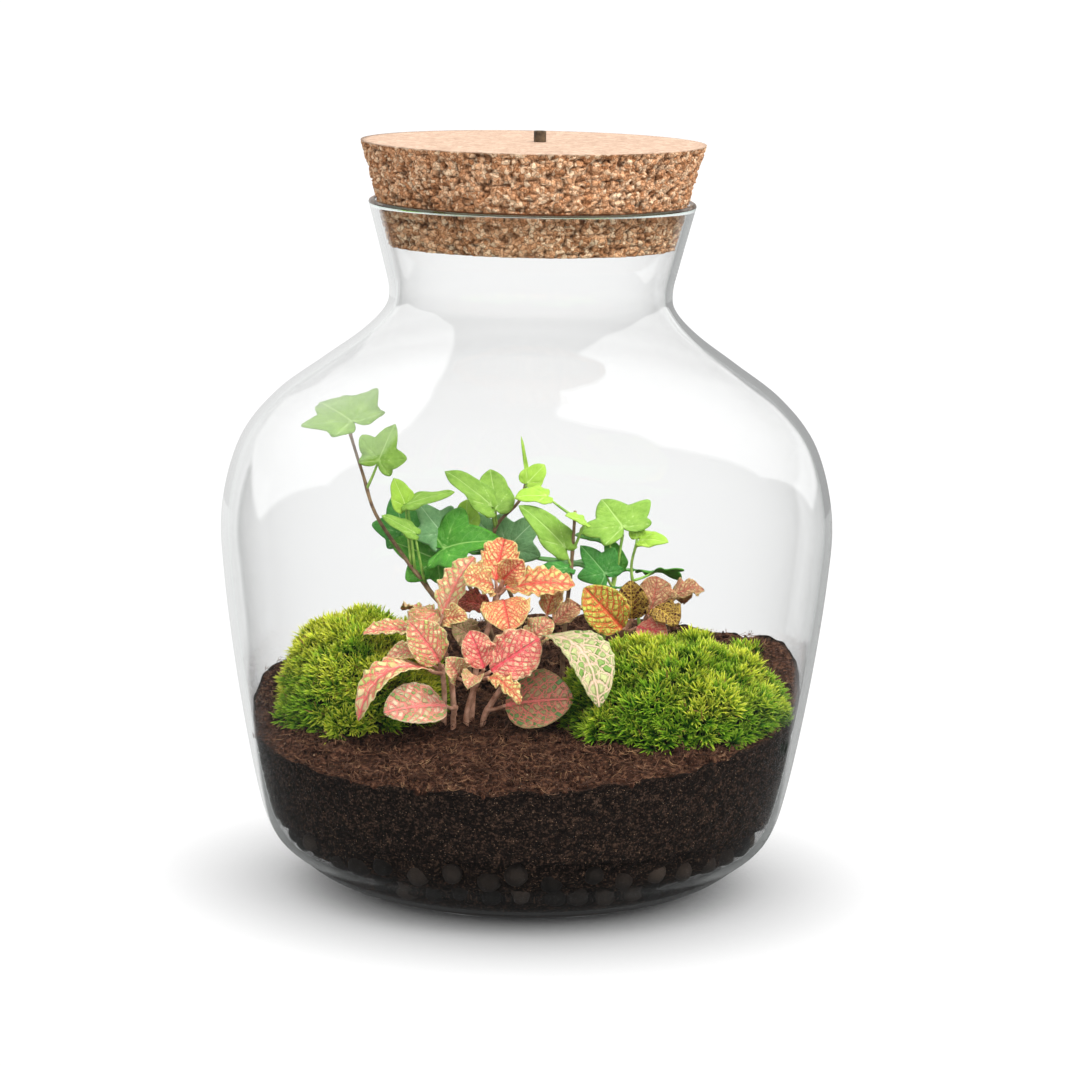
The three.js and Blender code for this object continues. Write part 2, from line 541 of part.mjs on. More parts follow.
const IVY_SHOOTS = [
  {
    name: "ivy_shoot_1",
    thick: 1.1,
    route: [
      [-22, 14],
      [-26, 14, 100],
      [-40, 14, 118],
      [-52, 13, 134],
      [-63, 12, 151],
      [-68, 10, 168],
      [-74, 8, 187],
    ],
    leaves: [
      { at: 0.98, heart: [-72, 8, 189], tip: [-88, 30, 197], face: [-0.16, -0.44, 0.88], droop: 0.1 },
      { at: 0.8, heart: [-61, 4, 174], tip: [-55, 1, 189], face: [0, -0.95, 0.3], fold: 0.35 },
      { at: 0.52, heart: [-50, 8, 154], tip: [-54, 5, 166], face: [0.2, -0.9, 0.4], young: true },
      { at: 0.5, heart: [-49, 7, 155], tip: [-31, 6, 163], face: [0, -0.6, 0.8], young: true, broad: 0.5 },
      { at: 0.45, heart: [-46, 6, 143], tip: [-58, 2, 152], face: [0.2, -0.7, 0.7], young: true, broad: 0.6 },
      { at: 0.36, heart: [-37, 19, 130], tip: [-57, 19, 138], face: [0, -0.9, 0.4], droop: 0.05 },
      { at: 0.42, heart: [-51, 26, 139], tip: [-56, 33, 156], face: [0, -0.8, 0.6] },
    ],
  },
  {
    name: "ivy_shoot_2",
    thick: 1.1,
    route: [[-10, 20], [-14, 20, 100], [-24, 19, 120], [-31, 16, 134]],
    leaves: [
      { at: 0.97, heart: [-34, 12, 136], tip: [-12, 4, 144], face: [-0.1, -0.7, 0.7], fold: 0.4 },
      { at: 0.93, heart: [-35, 17, 141], tip: [-45, 17, 155], face: [-0.1, -0.7, 0.7] },
      { at: 0.9, heart: [-25, 22, 144], tip: [-25, 26, 155], face: [0, -0.9, 0.4], young: true, broad: 1.2 },
      { at: 0.75, heart: [-30, 32, 132], tip: [-40, 52, 134], face: [0, 0.2, 1] },
    ],
  },
  {
    name: "ivy_shoot_3",
    thick: 1.1,
    route: [[0, 28], [-3, 28, 105], [-12, 26, 130], [-13, 24, 143], [-3, 24, 155], [0, 24, 165]],
    leaves: [
      { at: 0.76, heart: [-13, 20, 152], tip: [-15, 26, 169], face: [0.2, -1, 0.3], young: true, broad: 1.1 },
      { at: 0.75, heart: [-15, 19, 153], tip: [-31, 14, 170], face: [0.4, -1, 0.8], young: true, broad: 0.7 },
      { at: 0.96, heart: [0, 23, 163], tip: [7, 24, 171], face: [0, -0.9, 0.2], young: true, broad: 1.2 },
      { at: 0.99, heart: [0, 24, 167], tip: [-3, 24, 182], face: [0, -1, 0], young: true, broad: 0.15 },
      { at: 0.6, heart: [-8, 31, 133], tip: [5, 30, 148], face: [0, -0.9, 0.5] },
      { at: 0.62, heart: [-13, 33, 136], tip: [-24, 37, 148], face: [-0.1, -0.8, 0.6] },
      { at: 0.52, heart: [-10, 42, 128], tip: [-14, 60, 126], face: [0, 0.3, 1] },
    ],
  },
  {
    name: "ivy_shoot_4",
    thick: 1.2,
    route: [[16, 22], [17, 20, 105], [19, 17, 130], [20, 17, 152]],
    leaves: [
      { at: 0.97, heart: [8, 18, 158], tip: [-4, 12, 160], face: [0, -0.6, 0.8], young: true },
      { at: 0.72, heart: [16, 14, 137], tip: [0, 8, 156], face: [0.4, -0.8, 0.4], young: true, broad: 0.7 },
      { at: 0.66, heart: [17, 9, 129], tip: [5, 1, 130], face: [0, -0.4, 0.9], young: true },
      { at: 0.8, heart: [24, 12, 148], tip: [17, 6, 153], face: [0, -0.5, 0.9], young: true },
      { at: 0.62, heart: [19, 29, 127], tip: [12, 49, 129], face: [0, 0.3, 1] },
    ],
  },
  {
    name: "ivy_shoot_5",
    thick: 1.1,
    route: [[31, 23], [34, 21, 105], [38, 19, 128], [40, 19, 142]],
    leaves: [
      { at: 0.98, heart: [40, 18, 145], tip: [31, 29, 157], face: [-0.1, -0.6, 0.8], broad: 1.4, fold: 0.1 },
      { at: 0.7, heart: [33, 14, 126], tip: [23, 15, 138], face: [0, -0.9, 0.4] },
      { at: 0.74, heart: [38, 24, 127], tip: [35, 27, 139], face: [0.3, -0.9, 0.3], young: true },
      { at: 0.6, heart: [36, 10, 121], tip: [34, 0, 124], face: [0, -0.3, 1], young: true },
      { at: 0.8, heart: [34, 30, 139], tip: [20, 35, 141], face: [0, -0.5, 0.9], young: true, broad: 0.8 },
      { at: 0.68, heart: [37, 34, 124], tip: [35, 52, 121], face: [0, 0.4, 1] },
    ],
  },
  {
    name: "ivy_shoot_6",
    thick: 1,
    route: [[50, 24], [47, 22, 110], [44, 21, 128], [46, 19, 139]],
    leaves: [
      { at: 0.98, heart: [46, 20, 141], tip: [46, 23, 149], face: [0, -0.9, 0.3], young: true },
      { at: 0.97, heart: [48, 18, 140], tip: [58, 12, 142], face: [0, -0.6, 0.8], young: true },
      { at: 0.75, heart: [54, 32, 124], tip: [66, 44, 122], face: [0, 0.3, 1] },
    ],
  },
];

// A stem's curve: straight up out of the soil, then through its route.
function stemCurve(route) {
  const [[x, y], ...higher] = route;
  const ground = soilHeight(x, y);
  const foot = [
    [x, y, ground - STEM_DEPTH],
    [x, y, ground + 1.5],
  ];
  return new THREE.CatmullRomCurve3([...foot, ...higher].map(vec), false, "centripetal");
}

function leafyStem({ thick, route, leaves }, leafOf) {
  const curve = stemCurve(route);
  const steps = Math.max(5, Math.round(curve.getLength() / 14));
  const stem = bar(curve, thick, 5, steps);
  return fuse([stem, ...leaves.map((leaf) => leafOf(curve.getPointAt(leaf.at), leaf))]);
}

// A plain hole in the soil for each stem.
function stemHole({ thick, route }) {
  const [[x, y]] = route;
  const ground = soilHeight(x, y);
  const depth = STEM_DEPTH + CLEARANCE;
  const hole = new THREE.CylinderGeometry(thick + 2 * CLEARANCE, thick + 2 * CLEARANCE, 2 * depth, 6);
  return solidOf(hole.rotateX(Math.PI / 2).translate(x, y, ground));
}

const holes = [...NERVE_STEMS, ...IVY_SHOOTS].map(stemHole);
const pottingSoil = soilBody(0).subtract(fuse(holes));

const group = new THREE.Group();
group.add(
  meshOf("glass_jar", solidOf(glassJar), GLASS),
  meshOf("cork_lid", corkLid, CORK),
  meshOf("lid_bung", lidBung, BUNG),
  meshOf("clay_pebbles", clayPebbles, CLAY),
  meshOf("potting_soil", pottingSoil, SOIL),
  meshOf("moss_left", mossCushion(MOSS_LEFT), MOSS),
  meshOf("moss_right", mossCushion(MOSS_RIGHT), MOSS),
  ...NERVE_STEMS.map((stem) => meshOf(stem.name, leafyStem(stem, nerveLeaf), NERVE_LEAF)),
  ...IVY_SHOOTS.map((shoot) => meshOf(shoot.name, leafyStem(shoot, ivyLeaf), IVY_LEAF)),
);

export default group;
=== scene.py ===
"""A closed bottle garden: a corked glass jar over clay pebbles, potting soil, moss, nerve plants and ivy.

Sizes in this file are millimetres, with +Z up and the origin in the middle of the jar's foot. They turn
into Blender's metres where a mesh is made. The floor and the camera are placed in metres, and the scale of a
material's pattern is its number of features to a metre.
"""

import math

import bpy
import numpy as np
from mathutils import Matrix, Vector


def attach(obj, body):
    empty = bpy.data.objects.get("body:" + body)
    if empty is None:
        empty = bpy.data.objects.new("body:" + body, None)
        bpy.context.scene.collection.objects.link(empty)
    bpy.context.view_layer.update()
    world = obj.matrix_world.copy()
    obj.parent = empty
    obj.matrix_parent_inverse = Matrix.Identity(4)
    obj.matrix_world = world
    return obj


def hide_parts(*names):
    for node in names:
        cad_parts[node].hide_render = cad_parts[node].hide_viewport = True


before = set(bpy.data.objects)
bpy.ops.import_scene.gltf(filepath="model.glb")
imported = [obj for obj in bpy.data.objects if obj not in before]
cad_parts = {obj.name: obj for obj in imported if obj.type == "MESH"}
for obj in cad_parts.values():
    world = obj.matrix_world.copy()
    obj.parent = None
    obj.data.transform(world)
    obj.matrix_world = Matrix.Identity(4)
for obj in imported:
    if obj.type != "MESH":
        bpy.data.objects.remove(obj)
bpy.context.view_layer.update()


# Glass jar: blown soda-lime glass with a thick foot, a wide belly, a narrow neck and a fire-polished rim.
# It is one piece, about 3 mm thick, and clear with a faint green in its depth.

MM = 0.001


def linear(code):
    """An sRGB hex value as linear RGBA: c / 12.92 in the dark, else ((c + 0.055) / 1.055) ^ 2.4."""
    srgb = np.array([int(code[k : k + 2], 16) for k in (1, 3, 5)]) / 255
    dark, light = srgb / 12.92, ((srgb + 0.055) / 1.055) ** 2.4
    return (*np.where(srgb <= 0.04045, dark, light), 1.0)


def new_material(name):
    """An empty node material."""
    material = bpy.data.materials.new(name)
    material.use_nodes = True
    material.node_tree.nodes.clear()
    return material


def add(material, kind, inputs=None, stops=None, **settings):
    """Adds a node with its settings and links.

    inputs gives each socket, by name or number, a value, a node (its first output) or a pair of a node and
    the name of its output. stops are a ramp's places and hex colours.
    """
    tree = material.node_tree
    node = tree.nodes.new("ShaderNode" + kind)
    for name, value in settings.items():
        setattr(node, name, value)
    for socket, value in (inputs or {}).items():
        if isinstance(value, bpy.types.Node):
            value = (value, 0)
        if isinstance(value, tuple) and isinstance(value[0], bpy.types.Node):
            tree.links.new(value[0].outputs[value[1]], node.inputs[socket])
        else:
            node.inputs[socket].default_value = value
    if stops:
        ramp = node.color_ramp.elements
        ramp.remove(ramp[1])
        ramp[0].position, ramp[0].color = stops[0][0], linear(stops[0][1])
        for place, code in stops[1:]:
            ramp.new(place).color = linear(code)
    return node


def spline(points, steps, power=0.0, clamped=False):
    """Catmull-Rom curve through points, with this many steps to a span.

    The knots are spaced by distance ^ power: 0 is the uniform curve, 0.5 the centripetal one. Past its ends
    the curve goes straight on, or stands still where it is clamped.
    """
    points = np.asarray(points, float)
    first, last = 2 * points[0] - points[1], 2 * points[-1] - points[-2]
    if clamped:
        first, last = points[0], points[-1]
    p = np.vstack([first, points, last])
    gap = np.maximum(np.linalg.norm(np.diff(p, axis=0), axis=1), 1e-6) ** power
    curve = []
    t = (np.arange(steps) / steps)[:, None]
    for k in range(1, len(p) - 2):
        a, b, c, d = p[k - 1 : k + 3]
        ga, gb, gc = gap[k - 1 : k + 2]
        leave = gb * ((b - a) / ga - (c - a) / (ga + gb) + (c - b) / gb)
        arrive = gb * ((c - b) / gb - (d - b) / (gb + gc) + (d - c) / gc)
        curve.append(
            b + leave * t + (3 * (c - b) - 2 * leave - arrive) * t**2 + (2 * (b - c) + leave + arrive) * t**3
        )
    return np.vstack([*curve, points[-1:]])


def grid_faces(rows, columns, around=False):
    """Quads between points numbered row by row; around joins the last column to the first."""
    row = columns * np.arange(rows - 1)[:, None]
    here = np.arange(columns if around else columns - 1)[None, :]
    beside = (here + 1) % columns
    quads = [row + here, row + beside, row + columns + beside, row + columns + here]
    return np.stack(quads, axis=-1).reshape(-1, 4)


def closed_rings(rings, first, last):
    """Points and faces of a skin through rings of points, closed to a point before and after them."""
    count, sides = rings.shape[:2]
    here = np.arange(sides)
    beside = (here + 1) % sides
    end = count * sides
    start_fan = np.stack([np.full(sides, end), beside, here], axis=-1)
    end_fan = np.stack([end - sides + here, end - sides + beside, np.full(sides, end + 1)], axis=-1)
    points = np.vstack([rings.reshape(-1, 3), [first, last]])
    return points, [grid_faces(count, sides, around=True), np.vstack([start_fan, end_fan])]


def angles(count):
    """This many even steps round a circle."""
    return 2 * np.pi * np.arange(count) / count


def polar(radius, turn, height):
    """Points at this radius from Z, angle round it and height."""
    return np.stack(np.broadcast_arrays(radius * np.cos(turn), radius * np.sin(turn), height), axis=-1)


def turned(profile, sides):
    """A profile of radius and height, carried round Z; its two ends lie on the axis."""
    rings = polar(profile[1:-1, 0, None], angles(sides), profile[1:-1, 1, None])
    return closed_rings(rings, (0, 0, profile[0, 1]), (0, 0, profile[-1, 1]))


def unit(vectors):
    """The vectors, each made 1 long."""
    return vectors / np.linalg.norm(vectors, axis=-1, keepdims=True)


def make_piece(name, points, faces, materials, nodes, marks=None, kinds=None):
    """One object from points in millimetres and arrays of faces, which rides on the part's only body.

    It replaces the solids named in nodes. marks are values kept at the points, kinds the number of each
    face's material.
    """
    mesh = bpy.data.meshes.new(name)
    corners = np.concatenate([np.ravel(f) for f in faces])
    sizes = np.concatenate([np.full(len(f), f.shape[1]) for f in faces])
    mesh.vertices.add(len(points))
    mesh.loops.add(len(corners))
    mesh.polygons.add(len(sizes))
    mesh.vertices.foreach_set("co", np.ravel(points * MM))
    mesh.loops.foreach_set("vertex_index", corners)
    mesh.polygons.foreach_set("loop_start", np.cumsum(sizes) - sizes)
    mesh.polygons.foreach_set("use_smooth", np.full(len(sizes), True))
    for material in materials:
        mesh.materials.append(material)
    if kinds is not None:
        mesh.polygons.foreach_set("material_index", kinds)
    for mark, values in (marks or {}).items():
        wide = values.shape[1] == 4
        layer = mesh.attributes.new(mark, "FLOAT_COLOR" if wide else "FLOAT_VECTOR", "POINT")
        layer.data.foreach_set("color" if wide else "vector", np.ravel(values))
    mesh.update(calc_edges=True)
    mesh.validate()
    piece = bpy.data.objects.new(name, mesh)
    bpy.context.scene.collection.objects.link(piece)
    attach(piece, "root")
    if nodes:
        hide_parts(*nodes)
    return piece


FOOT_RADIUS, FOOT_RING_INNER, PUSH_UP = 66, 57, 1.3
RIM_FOOT, RIM_TOP = 280.2, 281.6
GLASS_WALL, FOOT_THINNER, FOOT_FADE = 2.8, 0.5, 7  # the wall, less at the foot, which fades over this height
JAR_SIDES, JAR_STEPS = 128, 8  # points round the jar, and steps between two given ones of its outline
# Outside of the jar from the foot to just under the rim, as radius and height.
JAR_OUTSIDE = [
    (FOOT_RADIUS, 0), (81, 5), (92, 12), (103, 22.5), (109.8, 43), (117.9, 86), (123.6, 129), (124.6, 156),
    (117.8, 182.7), (104, 201), (85.2, 215.2), (69, 227), (59.4, 237), (57.6, 245), (60.2, 257),
    (66.3, RIM_FOOT),
]

outside = spline(JAR_OUTSIDE, JAR_STEPS, clamped=True)
slope = unit(np.gradient(outside, axis=0))
wall = GLASS_WALL - FOOT_THINNER * np.exp(-outside[:, 1:] / FOOT_FADE)
inside = outside + wall * np.stack([-slope[:, 1], slope[:, 0]], axis=-1)


def inside_radius(height):
    """Radius of the jar's inside at a height."""
    return np.interp(height, inside[:, 1], inside[:, 0])


bend = np.linspace(0, np.pi, 9)[1:-1]
rim_middle, rim_half = (outside[-1, 0] + inside[-1, 0]) / 2, (outside[-1, 0] - inside[-1, 0]) / 2
rim_height = RIM_TOP - RIM_FOOT
rim = np.stack([rim_middle + rim_half * np.cos(bend), RIM_FOOT + rim_height * np.sin(bend)], axis=-1)
# Underneath, the middle of the foot is pushed up and only its ring stands on the table.
foot = [(r, PUSH_UP) for r in (0, 20, 45, 52)] + [(54.5, 0.6), (FOOT_RING_INNER, 0), (FOOT_RADIUS - 1, 0)]
inner_floor = [(55, inside[0, 1] + 0.3), (30, inside[0, 1] + 0.8), (0, inside[0, 1] + 1)]
jar_points, jar_faces = turned(np.vstack([foot, outside, rim, inside[::-1], inner_floor]), JAR_SIDES)

# Soda-lime glass, blown: fire-polished, so it mirrors the lamps sharply, and green where it is deep.
# Light that only passes through on its way to the plants isn't bent, as in such a thin wall, and light that
# many inner reflections have caught in the wall leaves it where it is.
MANY_BOUNCES = 2.5  # between the second mirrored or bent ray and the third
glass = new_material("soda_lime_glass_blown")
clear = add(
    glass,
    "BsdfPrincipled",
    {"Base Color": (1, 1, 1, 1), "Roughness": 0.0, "IOR": 1.5, "Transmission Weight": 1.0},
)
passing = add(glass, "BsdfTransparent", {"Color": linear("#fbfdfc")})
ray = add(glass, "LightPath")
lighting = add(glass, "Math", {0: (ray, "Is Shadow Ray"), 1: (ray, "Is Diffuse Ray")}, operation="MAXIMUM")
caught = add(glass, "Math", {0: (ray, "Glossy Depth"), 1: MANY_BOUNCES}, operation="GREATER_THAN")
lighting = add(glass, "Math", {0: lighting, 1: caught}, operation="MAXIMUM")
glass_surface = add(glass, "MixShader", {0: lighting, 1: clear, 2: passing})
in_depth = {"Color": linear("#9ad0c0"), "Density": 3.5}
glass_depth = add(glass, "VolumeAbsorption", in_depth)
add(glass, "OutputMaterial", {"Surface": glass_surface, "Volume": glass_depth})

# The rim, fire-polished round: the dark gap round the cork is painted on it as a brown line and a brown tint,
# under its highlights.
rim_glass = new_material("soda_lime_glass_rim")
painted_gap_tint = add(rim_glass, "BsdfTransparent", {"Color": linear("#f2d8c6")})
painted_gap_line = add(rim_glass, "BsdfPrincipled", {"Base Color": linear("#38221a"), "Roughness": 0.03, "IOR": 1.5})
where = add(rim_glass, "TexCoord")
height = add(rim_glass, "SeparateXYZ", {0: (where, "Object")})
low, high = RIM_FOOT * MM, RIM_TOP * MM
share = add(
    rim_glass,
    "MapRange",
    {"Value": (height, "Z"), "From Min": low, "From Max": high, "To Min": 0.85, "To Max": 0.4},
)
rim_surface = add(rim_glass, "MixShader", {0: share, 1: painted_gap_tint, 2: painted_gap_line})
rim_depth = add(rim_glass, "VolumeAbsorption", in_depth)
add(rim_glass, "OutputMaterial", {"Surface": rim_surface, "Volume": rim_depth})

# The rim's faces run from the outside's last row of points over the rim's own to the inside's first.
row = np.concatenate([np.arange(len(jar_faces[0])) // JAR_SIDES, np.full(len(jar_faces[1]), -1)])
rim_start = len(foot) - 1 + len(outside) - 1
on_rim = (row >= rim_start) & (row <= rim_start + len(rim))
make_piece(
    "jar_glass", jar_points, jar_faces, [glass, rim_glass], ["glass_jar"],
    kinds=on_rim.astype(int),
)


# Drainage layer: three rows of fired clay pebbles, about 8 to 12 mm, against the glass at the bottom, with
# fine soil washed in between them. They were poured in first and carry the soil.

SOIL_FLOOR = 32.5
PEBBLE_RADIUS = 6.2
PEBBLE_SCATTER = 2.4  # how far a pebble may lie above or below its row
PEBBLE_SMALLEST, PEBBLE_FLATTEST = 0.66, 0.86  # as shares of the largest, and of its own size
PEBBLE_ROWS = [(9, 40), (16.5, 46), (25, 44)]  # height of each row and pebbles in it
CLEAR = 0.25  # how far crumbs and pebbles stay clear of the glass
CORE_SIDES, CORE_ROWS = 320, 44
DRAWN_BACK = 3.6  # how far the fines lie back from the glass between pebbles, on average
WET, WET_HEIGHT = 0.3, 7  # up to this height the wet fines stand this far into the glass, with no air between
PEBBLE_DENTS = ((0.5, 5, 1), (0.2, 1.8, 2))  # rise, size and seed of each noise
LATTICE = 32  # random values along each side of the noise's table, after which it starts again


def noise(points, size, seed):
    """Smooth noise from -1 to 1.

    Random values stand on a lattice of this size in millimetres and are blended between its corners by
    t^2 (3 - 2 t).
    """
    table = np.random.default_rng(seed).uniform(-1, 1, (LATTICE, LATTICE, LATTICE))
    cell = np.floor(points / size).astype(int)
    t = points / size - cell
    t = t * t * (3 - 2 * t)
    total = np.zeros(points.shape[:-1])
    for corner in np.ndindex(2, 2, 2):
        share = np.prod(np.where(corner, t, 1 - t), axis=-1)
        total += share * table[tuple(np.moveaxis((cell + corner) % LATTICE, -1, 0))]
    return total


def relief(points, layers):
    """The sum of several noises, each given by its rise, size and seed."""
    return sum(rise * noise(points, size, seed) for rise, size, seed in layers)


def from_axis(points):
    """How far points are from the jar's axis."""
    return np.hypot(points[..., 0], points[..., 1])


def ball(rows, columns):
    """Points and faces of a ball of radius 1, from rings of points between two poles."""
    bow = np.linspace(-np.pi / 2, np.pi / 2, rows)
    profile = np.stack([np.cos(bow), np.sin(bow)], axis=-1)
    return turned(profile, columns)


def body_numbers(faces):
    """0 for the faces of the first turned body, which has two arrays of them, and 1 for those after it."""
    return np.concatenate([np.full(len(f), k // 2) for k, f in enumerate(faces)])


def copies(points, faces, count):
    """The faces of count copies of a shape whose points follow each other."""
    shift = len(points) * np.arange(count)[:, None, None]
    return [(f[None] + shift).reshape(-1, f.shape[1]) for f in faces]


rng = np.random.default_rng(7)
seats = []
for row, (height, count) in enumerate(PEBBLE_ROWS):
    turn = 2 * np.pi * (np.arange(count) + 0.5 * row + rng.uniform(-0.15, 0.15, count)) / count
    z = height + rng.uniform(-PEBBLE_SCATTER, PEBBLE_SCATTER, count)
    size = PEBBLE_RADIUS * rng.uniform(PEBBLE_SMALLEST, 1, count)
    reach = inside_radius(z) - size
    seats.append(np.column_stack([polar(reach, turn, z), size]))
seats = np.vstack(seats)
ball_points, ball_faces = ball(11, 16)
flattened = rng.uniform(PEBBLE_FLATTEST, 1.0, (len(seats), 1, 3))
pebble_points = ball_points[None] * flattened * seats[:, None, 3:] + seats[:, None, :3]
outward = np.broadcast_to(ball_points, pebble_points.shape)
pebble_points += outward * relief(pebble_points, PEBBLE_DENTS)[..., None]
# Each pebble is pushed out along its own direction until it touches the glass.
short = inside_radius(pebble_points[..., 2]) - from_axis(pebble_points)
push = short.min(axis=1, keepdims=True) - CLEAR
pebble_points[..., :2] += push[..., None] * unit(seats[:, None, :2])
pebble_tint = np.repeat(rng.uniform(0, 1, len(seats)), len(ball_points))

# The pebbles behind the first ones, and the soil between them, are one turned body.
height = np.linspace(inside[0, 1] - WET, SOIL_FLOOR, CORE_ROWS)
core_radius = inside_radius(height) + np.where(height < WET_HEIGHT, WET, -CLEAR)
core_profile = np.vstack(
    [[(0, height[0])], np.stack([core_radius, height], axis=-1), [(60, SOIL_FLOOR), (0, SOIL_FLOOR)]]
)
core_points, core_faces = turned(core_profile, CORE_SIDES)
# Between the pebbles it draws back from the glass.
away = core_points * (1, 1, 0) / np.maximum(from_axis(core_points), 1)[:, None]
deep = np.clip((core_points[:, 2] - WET_HEIGHT) / 3, 0, 1) * (DRAWN_BACK + 1.8 * noise(core_points, 5, 3))
deep += 1.1 * np.clip(noise(core_points, 1.8, 4), 0, 1) * (core_points[:, 2] > WET_HEIGHT)
core_points -= away * np.where(core_points[:, 2] < SOIL_FLOOR, np.clip(deep, 0, 7), 2)[:, None]

# Fired clay, tumbled: dull, dark brown, each pebble a little different, with a sandy grain.
clay = new_material("expanded_clay_fired")
where = add(clay, "TexCoord")
tint = add(clay, "Attribute", attribute_name="tint")
tone = add(clay, "ValToRGB", {0: (tint, "Vector")}, [(0, "#100c0a"), (0.5, "#1e1612"), (1, "#342922")])
grit = add(clay, "TexNoise", {"Vector": (where, "Object"), "Scale": 900.0, "Detail": 6.0, "Roughness": 0.7})
dusty = add(clay, "MixRGB", {0: 0.6, 1: tone, 2: (grit, 0)}, blend_type="OVERLAY")
grain = add(clay, "Bump", {"Height": (grit, 0), "Strength": 0.8, "Distance": 0.001})
clay_surface = add(clay, "BsdfPrincipled", {"Base Color": dusty, "Roughness": 0.8, "Normal": grain})
add(clay, "OutputMaterial", {"Surface": clay_surface})


def soil_material(name, crumbs, dark, middle, light, bits):
    """Potting soil: moist peat crumbs, this many to a metre, each of its own brown, with pale grit."""
    soil = new_material(name)
    where = add(soil, "TexCoord")
    spread = {"Vector": (where, "Object"), "Scale": 420.0, "Detail": 6.0, "Roughness": 0.75}
    lumps = add(soil, "TexNoise", spread)
    crumb = add(soil, "TexVoronoi", {"Vector": (where, "Object"), "Scale": crumbs})
    shade = add(soil, "SeparateColor", {0: (crumb, "Color")})
    share = add(soil, "Math", {0: shade, 1: 0.45, 2: lumps}, operation="MULTIPLY_ADD")
    tone = add(soil, "ValToRGB", {0: share}, [(0.42, dark), (0.78, middle), (1, light)])
    chosen = add(soil, "Math", {0: (shade, 1), 1: 1 - bits}, operation="GREATER_THAN")
    small = add(soil, "Math", {0: (crumb, "Distance"), 1: 0.28}, operation="LESS_THAN")
    both = add(soil, "Math", {0: small, 1: chosen}, operation="MULTIPLY")
    colour = add(soil, "MixRGB", {0: both, 1: tone, 2: linear("#8a705a")})
    height = add(soil, "Math", {0: (crumb, "Distance"), 1: -0.5, 2: lumps}, operation="MULTIPLY_ADD")
    relief = add(soil, "Bump", {"Height": height, "Strength": 1.0, "Distance": 0.0012})
    shader = add(
        soil,
        "BsdfPrincipled",
        {"Base Color": colour, "Roughness": 0.85, "Specular IOR Level": 0.12, "Normal": relief},
    )
    add(soil, "OutputMaterial", {"Surface": shader})
    return soil


packed_soil = soil_material("potting_soil_packed", 1500.0, "#070504", "#1a120f", "#4a372c", 0.05)
pebble_count = len(seats) * len(ball_points)
drain_points = np.vstack([pebble_points.reshape(-1, 3), core_points])
drain_faces = copies(ball_points, ball_faces, len(seats)) + [f + pebble_count for f in core_faces]
drain_kinds = body_numbers(drain_faces)
drain_tint = np.zeros((len(drain_points), 3))
drain_tint[:pebble_count] = pebble_tint[:, None]
make_piece(
    "drainage_pebbles", drain_points, drain_faces, [clay, packed_soil], ["clay_pebbles"],
    {"tint": drain_tint}, drain_kinds,
)


# Potting soil: moist peat and coir, packed dark against the glass and loose on top, where it slopes up to
# the back and right. Crumbs and fibres lie on it.

SOIL_MIDDLE = 75  # height of the slope in the middle of the jar


def soil_height(x, y):
    """A slope up to the back and right, three low mounds and small waves."""

    def mound(cx, cy, reach, rise):
        return rise * np.exp(-((x - cx) ** 2 + (y - cy) ** 2) / reach**2)

    slope = SOIL_MIDDLE + 0.12 * y + 0.055 * x
    mounds = mound(105, 28, 40, 9) + mound(-108, 35, 42, 7) + mound(-5, -30, 45, 2)
    waves = 1.0 * np.sin(0.21 * x + 1.3) * np.cos(0.17 * y - 0.4)
    return slope + mounds + waves + 0.6 * np.sin(0.33 * x + 0.27 * y)


def on_soil(radius, turn):
    """Points on the slope of the soil, at this radius from the jar's axis and angle round it."""
    x, y = radius * np.cos(turn), radius * np.sin(turn)
    return np.stack([x, y, soil_height(x, y)], axis=-1)


SOIL_SIDES, SOIL_ROWS, SOIL_RINGS = 576, 44, 64
SOIL_GAPS = ((0.5, 4, 6), (0.6, 1.8, 7))  # rise, size and seed of each noise, at the glass
SOIL_LUMPS = ((1.1, 8, 5), (0.9, 3.6, 8), (0.5, 1.7, 9))  # and on top
HOLLOW = 0.011  # depth of a hollow between crumbs at the glass, as a share of the radius
EDGE_HEIGHT, LITTER_HEIGHT = 74, 78  # where the soil, and what lies on it, meet the glass on average
turn = angles(SOIL_SIDES)
edge = on_soil(inside_radius(EDGE_HEIGHT), turn)
brim = edge[:, 2] + 1.2 * noise(edge * (1, 1, 0), 7, 5)
share = np.linspace(0, 1, SOIL_ROWS)[:, None]
side_z = SOIL_FLOOR + share * (brim - SOIL_FLOOR)
side_r = inside_radius(side_z) - CLEAR
side = polar(side_r, turn, side_z)
# Small hollows show between the crumbs next to the glass.
hollow = np.clip(0.4 + relief(side, SOIL_GAPS), 0, 1)
hollow *= np.clip(40 * (1 - share), 0, 1)
side[..., :2] *= (1 - HOLLOW * hollow)[..., None]
share = np.linspace(0.988, 0.004, SOIL_RINGS)[:, None]
top = on_soil(share * side_r[-1], turn)
top[..., 2] += relief(top, SOIL_LUMPS) * np.clip((1 - share) * 25, 0.2, 1)
floor_ring = side[:1] * (0.5, 0.5, 1)
rings = np.concatenate([floor_ring, side, top])
soil_points, (soil_body, soil_caps) = closed_rings(rings, (0, 0, SOIL_FLOOR), (0, 0, soil_height(0, 0)))
on_side = np.arange(len(soil_body)) < SOIL_SIDES * (len(side) + 1)

rng = np.random.default_rng(11)


def scattered(count):
    """Random places on the soil, even over its area."""
    reach = np.sqrt(rng.uniform(0, 1, count)) * (inside_radius(LITTER_HEIGHT) - 2.5)
    return on_soil(reach, rng.uniform(0, 2 * np.pi, count))


